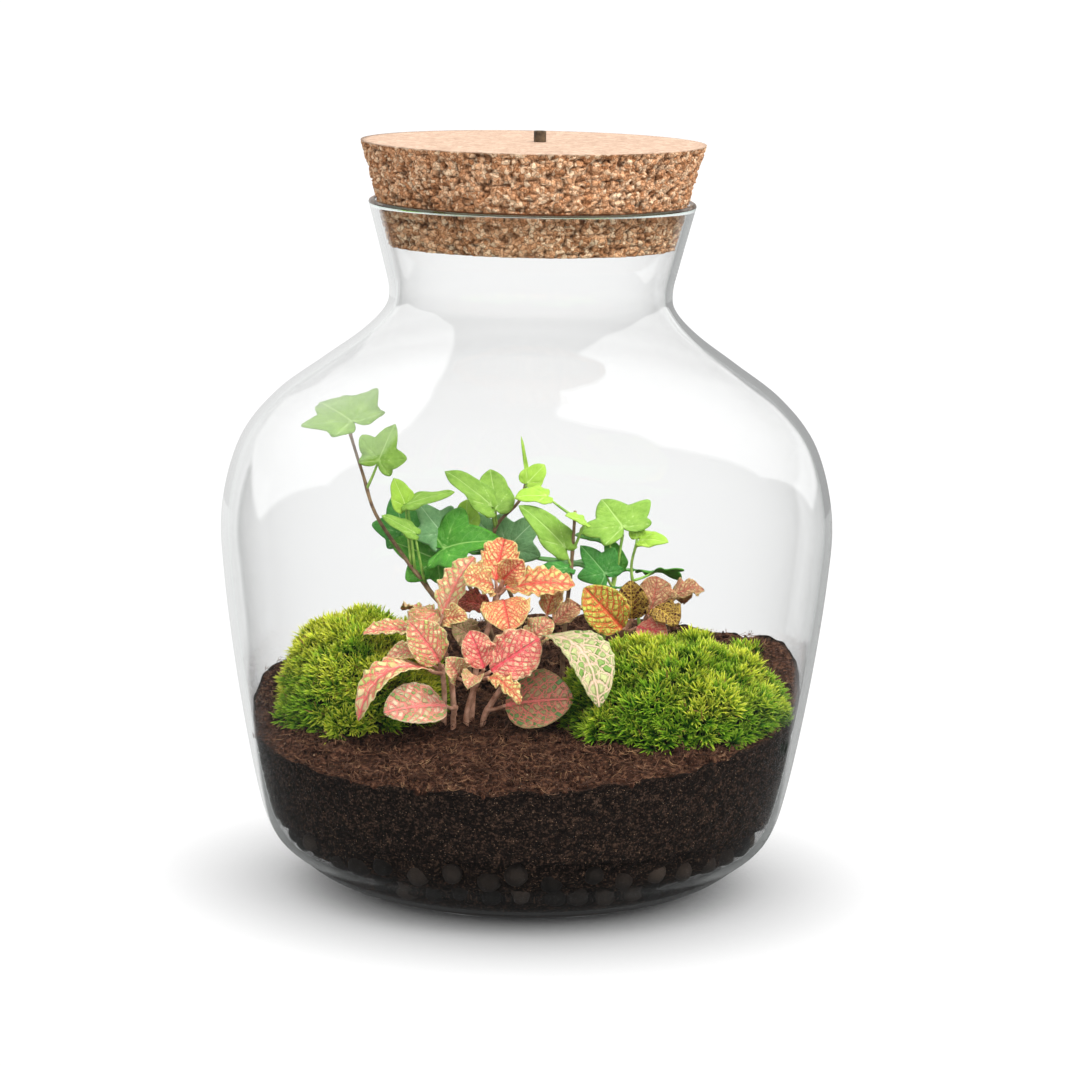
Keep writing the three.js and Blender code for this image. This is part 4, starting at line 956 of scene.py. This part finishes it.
def stem_material(name, dark, light, scale):
    """Bark or skin of a stem: matt, mottled along it, with a fine grain."""
    stem = new_material(name)
    where = add(stem, "TexCoord")
    mottle = add(stem, "TexNoise", {"Vector": (where, "Object"), "Scale": scale, "Detail": 4.0})
    tone = add(stem, "ValToRGB", {0: mottle}, [(0.35, dark), (0.65, light)])
    grain = add(stem, "Bump", {"Height": mottle, "Strength": 0.4, "Distance": 0.0004})
    shader = add(stem, "BsdfPrincipled", {"Base Color": tone, "Roughness": 0.6, "Normal": grain})
    add(stem, "OutputMaterial", {"Surface": shader})
    return stem


nerve_stem_skin = stem_material("nerve_plant_stem", "#94644e", "#d0a088", 320.0)


def plant_stem(path, thick, slimmer, leaves, kind):
    """A stem, as a part for joined, that tapers towards its top and has a knot where each leaf leaves it."""
    run = np.linspace(0, 1, STEM_RINGS)
    middle = np.array([along_path(path, share) for share in run])
    knots = sum(np.exp(-(((run - blade["at"]) / KNOT) ** 2)) for blade in leaves)
    radius = thick * (1 - slimmer * run) * (1 + KNOT_SWELL * np.clip(knots, 0, 1))
    return (*tube(middle, radius), {}, kind)


def grow(stems, slimmer, stalk_ends, blade_of, looks, materials, number):
    """Makes each stem, with its stalks and blades, one piece.

    stalk_ends are a stalk's radii at the stem and at the blade. The leaves are numbered on from number, and
    the last one's number is returned.
    """
    for stem in stems:
        path = stem_path(stem["route"])
        parts = [plant_stem(path, stem["thick"], slimmer, stem["leaves"], stem.get("skin", STALK))]
        for blade in stem["leaves"]:
            number += 1
            parts.append((*stalk(along_path(path, blade["at"]), blade["heart"], *stalk_ends), {}, STALK))
            parts.append(blade_of(blade, looks[blade["look"]], number))
        points, faces, marks, kinds = joined(parts)
        make_piece(stem["name"] + "_leafy", points, faces, materials, [stem["name"]], marks, kinds)
    return number


nerve_materials = [nerve_skin, nerve_stem_skin]
nerve_leaves = grow(
    NERVE_STEMS, 0.3, (0.95, 0.7), nerve_leaf, NERVE_LOOKS, nerve_materials, 0
)


# Ivy: six shoots of common ivy behind the nerve plants. Old leaves are dark and five-lobed with pale veins,
# young ones small, oval and lime green on thin stalks.

# Outlines of an old and a young leaf: degrees from the midrib, and reach as a share of the length.
IVY_OUTLINE = [
    (0, 1), (17, 0.74), (31, 0.56), (44, 0.66), (58, 0.78), (76, 0.56), (92, 0.42), (118, 0.5), (150, 0.26),
    (180, 0.01),
]
IVY_YOUNG_OUTLINE = [(0, 1), (14, 0.86), (30, 0.62), (52, 0.5), (80, 0.4), (125, 0.26), (180, 0.01)]
IVY_RIBS, IVY_YOUNG_RIBS = (0, 58, 118), (0, 40)  # degrees of the main veins from the midrib
FAN_CENTRE = 0.16  # where the rings of a blade start, as a share of its length
FAN_STEP, FAN_RINGS = 5.0, 9  # degrees between the points of a ring, and rings of a blade
IVY_VEIN_PAIRS, IVY_VEIN_CURVE, IVY_NET_CELLS = 5, 0.9, 20

# The same four colours for each kind of ivy leaf.
IVY_LOOKS = {
    "old": ("#4a922e", "#3e8224", "#a4cc74", "#5ea438"),
    "grey": ("#6d9c66", "#5f8e5a", "#b2d0a6", "#82ac74"),
    "teal": ("#3f8436", "#357830", "#94c07c", "#50943e"),
    "light": ("#86ae44", "#7aa43c", "#bcd686", "#9cc254"),
    "lime": ("#a8d048", "#b2d654", "#d2e890", "#98c440"),
}

IVY_SHOOTS = [
    {
        "name": "ivy_shoot_1", "thick": 1.1, "skin": BARK,
        "route": [
            (-22, 14), (-26, 14, 100), (-40, 14, 118), (-52, 13, 134), (-63, 12, 151), (-68, 10, 168),
            (-74, 8, 187),
        ],
        "leaves": [
            leaf("light", 0.98, (-72, 8, 189), (-88, 30, 197), (-0.16, -0.44, 0.88), droop=0.1),
            leaf("light", 0.8, (-61, 4, 174), (-55, 1, 189), (0, -0.95, 0.3), fold=0.35),
            leaf("lime", 0.52, (-50, 8, 154), (-54, 5, 166), (0.2, -0.9, 0.4), young=True),
            leaf("light", 0.5, (-49, 7, 155), (-31, 6, 163), (0, -0.6, 0.8), young=True, broad=0.5),
            leaf("light", 0.45, (-46, 6, 143), (-58, 2, 152), (0.2, -0.7, 0.7), young=True, broad=0.6),
            leaf("old", 0.36, (-37, 19, 130), (-57, 19, 138), (0, -0.9, 0.4), droop=0.05),
            leaf("teal", 0.42, (-51, 26, 139), (-56, 33, 156), (0, -0.8, 0.6)),
        ],
    },
    {
        "name": "ivy_shoot_2", "thick": 1.1, "skin": BARK,
        "route": [(-10, 20), (-14, 20, 100), (-24, 19, 120), (-31, 16, 134)],
        "leaves": [
            leaf("old", 0.97, (-34, 12, 136), (-12, 4, 144), (-0.1, -0.7, 0.7), fold=0.4),
            leaf("grey", 0.93, (-35, 17, 141), (-45, 17, 155), (-0.1, -0.7, 0.7)),
            leaf("lime", 0.9, (-25, 22, 144), (-25, 26, 155), (0, -0.9, 0.4), young=True, broad=1.2),
            leaf("old", 0.75, (-30, 32, 132), (-40, 52, 134), (0, 0.2, 1)),
        ],
    },
    {
        "name": "ivy_shoot_3", "thick": 1.1, "skin": BARK,
        "route": [(0, 28), (-3, 28, 105), (-12, 26, 130), (-13, 24, 143), (-3, 24, 155), (0, 24, 165)],
        "leaves": [
            leaf("light", 0.76, (-13, 20, 152), (-15, 26, 169), (0.2, -1, 0.3), young=True, broad=1.1),
            leaf("light", 0.75, (-15, 19, 153), (-31, 14, 170), (0.4, -1, 0.8), young=True, broad=0.7),
            leaf("lime", 0.96, (0, 23, 163), (7, 24, 171), (0, -0.9, 0.2), young=True, broad=1.2),
            leaf("lime", 0.99, (0, 24, 167), (-3, 24, 182), (0, -1, 0), young=True, broad=0.15),
            leaf("grey", 0.6, (-8, 31, 133), (5, 30, 148), (0, -0.9, 0.5)),
            leaf("grey", 0.62, (-13, 33, 136), (-24, 37, 148), (-0.1, -0.8, 0.6)),
            leaf("old", 0.52, (-10, 42, 128), (-14, 60, 126), (0, 0.3, 1)),
        ],
    },
    {
        "name": "ivy_shoot_4", "thick": 1.2, "skin": BARK,
        "route": [(16, 22), (17, 20, 105), (19, 17, 130), (20, 17, 152)],
        "leaves": [
            leaf("lime", 0.97, (8, 18, 158), (-4, 12, 160), (0, -0.6, 0.8), young=True),
            leaf("light", 0.72, (16, 14, 137), (0, 8, 156), (0.4, -0.8, 0.4), young=True, broad=0.7),
            leaf("teal", 0.66, (17, 9, 129), (5, 1, 130), (0, -0.4, 0.9), young=True),
            leaf("lime", 0.8, (24, 12, 148), (17, 6, 153), (0, -0.5, 0.9), young=True),
            leaf("old", 0.62, (19, 29, 127), (12, 49, 129), (0, 0.3, 1)),
        ],
    },
    {
        "name": "ivy_shoot_5", "thick": 1.1, "skin": STALK,
        "route": [(31, 23), (34, 21, 105), (38, 19, 128), (40, 19, 142)],
        "leaves": [
            leaf("light", 0.98, (40, 18, 145), (31, 29, 157), (-0.1, -0.6, 0.8), broad=1.4, fold=0.1),
            leaf("teal", 0.7, (33, 14, 126), (23, 15, 138), (0, -0.9, 0.4)),
            leaf("old", 0.74, (38, 24, 127), (35, 27, 139), (0.3, -0.9, 0.3), young=True),
            leaf("teal", 0.6, (36, 10, 121), (34, 0, 124), (0, -0.3, 1), young=True),
            leaf("old", 0.8, (34, 30, 139), (20, 35, 141), (0, -0.5, 0.9), young=True, broad=0.8),
            leaf("old", 0.68, (37, 34, 124), (35, 52, 121), (0, 0.4, 1)),
        ],
    },
    {
        "name": "ivy_shoot_6", "thick": 1, "skin": STALK,
        "route": [(50, 24), (47, 22, 110), (44, 21, 128), (46, 19, 139)],
        "leaves": [
            leaf("lime", 0.98, (46, 20, 141), (46, 23, 149), (0, -0.9, 0.3), young=True),
            leaf("lime", 0.97, (48, 18, 140), (58, 12, 142), (0, -0.6, 0.8), young=True),
            leaf("old", 0.75, (54, 32, 124), (66, 44, 122), (0, 0.3, 1)),
        ],
    },
]


def ivy_leaf(blade, look, number):
    """The blade of an ivy leaf, skinned on both faces.

    Rings of points spread from near the heart to the lobed outline, given as reach by angle. A point rises
    by fold x its distance from the midrib, sinks by droop x length x reach^2, and waves a little.
    """
    heart = blade["heart"]
    broad, fold, droop = blade.get("broad", 1), blade.get("fold", 0.18), blade.get("droop", 0.2)
    outline, ribs = (IVY_YOUNG_OUTLINE, IVY_YOUNG_RIBS) if blade.get("young") else (IVY_OUTLINE, IVY_RIBS)
    along, across, out, length = blade_ways(blade)
    degrees = np.arange(-180, 180, FAN_STEP)
    reach = np.interp(np.abs(degrees), *np.array(outline).T)
    reach = 0.7 * reach + 0.15 * (np.roll(reach, 1) + np.roll(reach, -1))
    reach[degrees == 0] = 1
    edge = np.stack([reach * np.cos(np.radians(degrees)), reach * np.sin(np.radians(degrees))], axis=-1)
    share = np.linspace(0, 1, FAN_RINGS + 1)[1:, None, None]
    flat = (FAN_CENTRE, 0) + share * (edge - (FAN_CENTRE, 0))
    x, y = flat[..., 0], flat[..., 1]
    far = np.hypot(x, y)
    lift = fold * np.abs(y * broad) - droop * far**2
    lift = lift + 0.02 * np.sin(9 * x + 2.3 * number) * np.cos(8 * y + number)
    lift = lift + 0.03 * share[..., 0] ** 4 * np.sin(np.radians(7 * degrees) + number)
    place = heart + length * (x[..., None] * along + (broad * y)[..., None] * across + lift[..., None] * out)
    middle = heart + length * (FAN_CENTRE * along - droop * FAN_CENTRE**2 * out)
    step = LEAF_HALF * out
    rings = np.concatenate([place - step, (place + step)[::-1]])
    points, faces = closed_rings(rings, middle - step, middle + step)
    # The nearest main vein gives each point its place along a vein and its distance from it.
    angle = np.degrees(np.arctan2(np.abs(y), x))
    away = np.radians(np.min([np.abs(angle - rib) for rib in ribs], axis=0))
    marks = np.stack([far * np.cos(away), far * np.sin(away), share[..., 0] + 0 * x], axis=-1)
    marks = np.concatenate([marks, marks[::-1]]).reshape(-1, 3)
    return coloured(points, faces, {"place": np.vstack([marks, [(FAN_CENTRE, 0, 0)] * 2])}, look)


# Ivy leaf, living: a waxy skin with a soft gloss, pale fine veins and a faint mottle between them.
ivy_skin = new_material("ivy_leaf_living")
axes, flat, distances = vein_distances(ivy_skin, IVY_VEIN_PAIRS, IVY_VEIN_CURVE, IVY_NET_CELLS)
line = near_veins(ivy_skin, distances, ((0.028, 0.006, 0.75), (0.07, 0.01, 0.22), (0.07, 0.01, 0.12)))
swell = near_veins(ivy_skin, distances, ((0.1, 0.02, 1.0), (0.3, 0.05, 0.5), (0.3, 0.05, 0.3)))
skin, margin, vein_colour, island = (add(ivy_skin, "Attribute", attribute_name=name) for name in LEAF_COLOURS)
outer = add(ivy_skin, "MapRange", {"Value": (axes, "Z"), "From Min": 0.6, "From Max": 1.0})
blotch = add(ivy_skin, "TexNoise", {"Vector": flat, "Scale": 5.0, "Detail": 3.0})
spots = add(ivy_skin, "MapRange", {"Value": blotch, "From Min": 0.4, "From Max": 0.7})
ground = add(ivy_skin, "MixRGB", {0: outer, 1: (skin, "Color"), 2: (margin, "Color")})
ground = add(ivy_skin, "MixRGB", {0: spots, 1: ground, 2: (island, "Color")})
leaf_colour = add(ivy_skin, "MixRGB", {0: line, 1: ground, 2: (vein_colour, "Color")})
sunken = add(ivy_skin, "Bump", {"Height": swell, "Strength": 0.5, "Distance": 0.0005}, invert=True)
living(ivy_skin, 0.22, leaf_colour, {"Roughness": 0.36, "IOR": 1.45}, sunken)

green_stalk = stem_material("ivy_stalk_green", "#6f9a3c", "#a4c262", 200.0)
ivy_bark = stem_material("ivy_shoot_bark", "#5e4434", "#94785c", 300.0)

ivy_materials = [ivy_skin, green_stalk, ivy_bark]
grow(IVY_SHOOTS, 0.45, (0.7, 0.5), ivy_leaf, IVY_LOOKS, ivy_materials, nerve_leaves)


# Lid: a tapered disc of agglomerated cork, pressed from granules of 1 to 4 mm and sanded flat on top. It is
# wedged into the neck by hand. A short dark wooden bung fills a small hole in it.

CORK_TOP, CORK_BOTTOM = 305.1, 264
CORK_TOP_RADIUS, CORK_BOTTOM_RADIUS = 70, 58.6
CORK_SIDES, CORK_ROWS, CORK_RINGS_UNDER, CORK_RINGS_ABOVE = 640, 80, 11, 23
CREVICES = ((3.6, 1.3, 31), (2.0, 1.0, 32))  # size, depth and seed of the large and the small ones
PIT_GAP = 0.42  # how far from zero the noise may be inside a crevice
GRANULES = 480.0  # to a metre, so they are about 2 mm wide
BUNG_RADIUS, BUNG_ACROSS, BUNG_ABOVE, BUNG_BELOW, BUNG_EDGE = 2.5, 2.5, 4.5, 14, 0.3

share = np.linspace(0, 1, CORK_ROWS)[:, None]
low, high = np.array([CORK_BOTTOM_RADIUS, CORK_BOTTOM]), np.array([CORK_TOP_RADIUS, CORK_TOP])
side = low + share * (high - low)
under_radius = np.linspace(0, CORK_BOTTOM_RADIUS, CORK_RINGS_UNDER + 1)[:-1]
upper_radius = np.linspace(CORK_TOP_RADIUS, 0, CORK_RINGS_ABOVE + 1)[1:]
under = np.stack([under_radius, CORK_BOTTOM + 0 * under_radius], axis=-1)
upper = np.stack([upper_radius, CORK_TOP + 0 * upper_radius], axis=-1)
cork_points, cork_faces = turned(np.vstack([under, side, upper]), CORK_SIDES)
# The side is broken between granules, so crevices run through it where noise passes zero. The top is sanded.
granules = cork_points * (1, 1, 1.35)
pit = 0
for size, deep, seed in CREVICES:
    pit = pit + deep * np.clip(1 - np.abs(noise(granules, size, seed)) / PIT_GAP, 0, 1)
pit += 0.5 * np.clip(noise(granules, 1.2, 33), 0, 1) + 0.7 * np.clip(noise(granules, 6, 34), 0, 1)
radial = from_axis(cork_points)
pitted = np.clip((radial - 45) / 8, 0, 1) * np.clip((CORK_TOP - cork_points[:, 2]) / 0.8, 0.15, 1)
cork_points[:, :2] *= (1 - pit * pitted / np.maximum(radial, 1))[:, None]
# The depth of each pit is kept at its points, for the painted shade that darkens the cork deep in its
# crevices.
pit_depth = np.stack([pit * pitted, 0 * pit, 0 * pit], axis=-1)

# Agglomerated cork: dry, warm granules from straw to red-brown with dark gaps, and painted shade deep in its
# crevices; the sanded top is paler.
cork = new_material("agglomerated_cork")
where = add(cork, "TexCoord")
wobble = add(cork, "TexNoise", {"Vector": (where, "Object"), "Scale": 420.0, "Detail": 4.0})
shaken = add(cork, "MixRGB", {0: 0.0035, 1: (where, "Object"), 2: (wobble, "Color")}, blend_type="ADD")
granule = add(cork, "TexVoronoi", {"Vector": shaken, "Scale": GRANULES})
gap = add(cork, "TexVoronoi", {"Vector": shaken, "Scale": GRANULES}, feature="DISTANCE_TO_EDGE")
shade = add(cork, "SeparateColor", {0: (granule, "Color")})
mealy = add(cork, "TexNoise", {"Vector": (where, "Object"), "Scale": 800.0, "Detail": 5.0, "Roughness": 0.7})
mixed = add(cork, "Math", {0: shade, 1: 0.5, 2: mealy}, operation="MULTIPLY_ADD")
granule_tone = add(
    cork, "ValToRGB", {0: mixed}, [(0.4, "#744629"), (0.55, "#c4895e"), (0.8, "#e6b187"), (1, "#fadab6")]
)
crack = add(cork, "MapRange", {"Value": gap, "From Min": 0.12, "From Max": 0.0, "To Max": 0.75})
side_tone = add(cork, "MixRGB", {0: crack, 1: granule_tone, 2: linear("#6e4529")})
# Painted shade: the deeper the pit, the nearer the side's colour comes to dark brown.
pit_shade_depth = add(cork, "Attribute", attribute_name="depth")
pit_shade_depth = add(cork, "SeparateXYZ", {0: (pit_shade_depth, "Vector")})
painted_pit_shade = add(cork, "MapRange", {"Value": pit_shade_depth, "From Min": 1.1, "From Max": 2.3, "To Max": 0.85})
side_tone = add(cork, "MixRGB", {0: painted_pit_shade, 1: side_tone, 2: linear("#351a0c")})
sanded = [(0.35, "#785744"), (0.5, "#9f8572"), (0.8, "#a88f7c"), (1, "#b8a08c")]
sanded = add(cork, "ValToRGB", {0: mixed}, sanded)
height = add(cork, "SeparateXYZ", {0: (where, "Object")})
top_starts, top_full = (CORK_TOP - 0.5) * MM, (CORK_TOP - 0.1) * MM
on_top = add(cork, "MapRange", {"Value": (height, 2), "From Min": top_starts, "From Max": top_full})
cork_tone = add(cork, "MixRGB", {0: on_top, 1: side_tone, 2: sanded})
smooth_top = add(cork, "Math", {0: on_top, 1: -0.92, 2: 1.0}, operation="MULTIPLY_ADD")
rough = add(cork, "Math", {0: gap, 1: mealy}, operation="ADD")
cork_relief = add(cork, "Bump", {"Height": rough, "Strength": smooth_top, "Distance": 0.0015})
cork_surface = add(
    cork,
    "BsdfPrincipled",
    {"Base Color": cork_tone, "Roughness": 0.85, "Specular IOR Level": 0.2, "Normal": cork_relief},
)
add(cork, "OutputMaterial", {"Surface": cork_surface})
make_piece("cork_disc", cork_points, cork_faces, [cork], ["cork_lid"], {"depth": pit_depth})

bung_profile = [(0, CORK_TOP - BUNG_BELOW), (BUNG_RADIUS, CORK_TOP - BUNG_BELOW), (BUNG_RADIUS, CORK_TOP)]
top_edge = CORK_TOP + BUNG_ABOVE
bung_profile += [(BUNG_RADIUS, top_edge - BUNG_EDGE), (BUNG_RADIUS - BUNG_EDGE, top_edge), (0, top_edge)]
bung_points, bung_faces = turned(np.array(bung_profile), 32)
stained_wood = stem_material("bung_stained_wood", "#33271b", "#5a4833", 400.0)
bung_points = bung_points + (BUNG_ACROSS, 0, 0)
make_piece("lid_bung_wood", bung_points, bung_faces, [stained_wood], ["lid_bung"])


# Stage: a pale floor that fills the view, a dim studio with two large soft boxes and two walls beside and
# behind the jar, painted into the sky for mirrored and bent rays only, which the glass shows as reflections,
# and the camera at the photograph's place.

# The floor lies 0.2 mm under the foot, so that the two faces aren't in one plane.
bpy.ops.mesh.primitive_plane_add(size=60, location=(0, 0, -0.0002))
floor = bpy.context.object
floor.name = "floor"

ROOM_LIGHT = (0.6, 0.6, 0.6, 1)  # what lights the plants evenly from all round
STUDIO_DARK = 0.06  # the studio between its boxes, as the glass mirrors it
BOX_EDGE = 0.012  # half the width of a box's soft edge
CAMERA_AT, CAMERA_DOWN, CAMERA_ROLL = (0, -1.58086, 0.41304), 0.1679, 0.0186  # metres and radians


def seen_in_glass(material):
    """1 for a ray that the glass has bent or mirrored once or twice, which is its glossy depth, else 0."""
    ray = add(material, "LightPath")
    return add(material, "Math", {0: (ray, "Glossy Depth"), 1: 1.5, 2: 0.6}, operation="COMPARE")


# Matt pale paper that glows as if lit from below, with a painted contact shadow: ambient occlusion takes the
# glow away where the jar covers it. The glass doesn't mirror it, as if it ended at the jar's foot.
paper = new_material("studio_paper")
open_sky = add(paper, "AmbientOcclusion", {"Distance": 0.055}, samples=2)
glow_with_painted_shadow = add(paper, "MapRange", {"Value": (open_sky, "AO"), "From Max": 0.8, "To Max": 0.92})
paper_surface = add(
    paper,
    "BsdfPrincipled",
    {
        "Base Color": linear("#3e3e3e"), "Roughness": 0.9,
        "Emission Color": (1, 1, 1, 1), "Emission Strength": glow_with_painted_shadow,
    },
)
unseen = add(paper, "BsdfTransparent")
paper_both = add(paper, "MixShader", {0: seen_in_glass(paper), 1: paper_surface, 2: unseen})
add(paper, "OutputMaterial", {"Surface": paper_both})
floor.data.materials.append(paper)


def direction(azimuth, elevation):
    """The way to a place in the studio, in degrees; azimuth 0 is the viewer's side and 90 the right."""
    a, e = math.radians(azimuth), math.radians(elevation)
    return Vector((math.sin(a) * math.cos(e), -math.cos(a) * math.cos(e), math.sin(e)))


def soft_lamp(name, azimuth, elevation, spread, strength):
    """An even, far lamp from this direction, as wide as its spread; mirrored and bent rays don't see it, and
    the glass shows the studio's painted soft boxes instead.
    """
    data = bpy.data.lights.new(name, "SUN")
    data.energy, data.angle = strength, math.radians(spread)
    lamp = bpy.data.objects.new(name, data)
    lamp.rotation_euler = direction(azimuth, elevation).to_track_quat("Z", "Y").to_euler()
    lamp.visible_glossy = lamp.visible_transmission = False
    bpy.context.scene.collection.objects.link(lamp)


soft_lamp("lamp_front_right", 54, 46, 28, 3.5)
soft_lamp("lamp_front_left", -30, 40, 60, 1.2)
soft_lamp("lamp_front", 8, 34, 60, 1.3)
soft_lamp("lamp_right", 92, 46, 40, 0.9)
soft_lamp("lamp_behind", 180, 58, 40, 1.9)

world = bpy.data.worlds.new("studio")
bpy.context.scene.world = world
world.use_nodes = True
world.node_tree.nodes.clear()
way = add(world, "TexCoord")


def soft_box(corners, brightness):
    """Light from between these directions, anticlockwise as the jar sees them, in azimuth and elevation."""
    ways = [direction(*corner) for corner in corners]
    inside = brightness
    for here, after in zip(ways, ways[1:] + ways[:1]):
        side = here.cross(after).normalized()
        depth = add(world, "VectorMath", {0: (way, "Generated"), 1: side}, operation="DOT_PRODUCT")
        soft = {"Value": (depth, "Value"), "From Min": -BOX_EDGE, "From Max": BOX_EDGE}
        inside = add(world, "Math", {0: add(world, "MapRange", soft), 1: inside}, operation="MULTIPLY")
    return inside


# Painted reflections: the soft boxes and walls are seen only by mirrored and bent rays; all other rays see
# the even room light.
left_box = soft_box([(-110, 62), (-145, 60), (-158, 14), (-119, -2), (-86, 20), (-84, 50)], 1.1)
right_box = soft_box([(108, 19), (136, -2), (148, -1), (163, 16), (154, 78), (112, 75), (94, 57)], 1.0)
left_wall = soft_box([(-138, 32), (-185, 32), (-185, -16), (-138, -16)], 0.85)
right_wall = soft_box([(126, -16), (175, -16), (175, 32), (126, 32)], 0.35)
studio = STUDIO_DARK
for bright in (left_box, right_box, left_wall, right_wall):
    studio = add(world, "Math", {0: studio, 1: bright}, operation="MAXIMUM")
height = add(world, "SeparateXYZ", {0: (way, "Generated")})
rising = add(world, "Math", {0: (height, "Z"), 1: 0.55, 2: 0.97}, operation="MULTIPLY_ADD")
studio = add(world, "Math", {0: studio, 1: rising}, operation="MULTIPLY")
tone = add(world, "MixRGB", {0: seen_in_glass(world), 1: ROOM_LIGHT, 2: studio})
sky = add(world, "Background", {"Color": tone, "Strength": 1.0})
add(world, "OutputWorld", {"Surface": sky})

view = bpy.data.cameras.new("camera")
view.lens, view.sensor_width, view.shift_x = 132.06, 36, 0.00617
camera = bpy.data.objects.new("camera", view)
bpy.context.scene.collection.objects.link(camera)
camera.matrix_world = (
    Matrix.Translation(CAMERA_AT)
    @ Matrix.Rotation(math.pi / 2 - CAMERA_DOWN, 4, "X")
    @ Matrix.Rotation(CAMERA_ROLL, 4, "Z")
)
bpy.context.scene.camera = camera
bpy.context.scene.view_settings.view_transform = "Standard"
bpy.context.scene.cycles.use_denoising = True
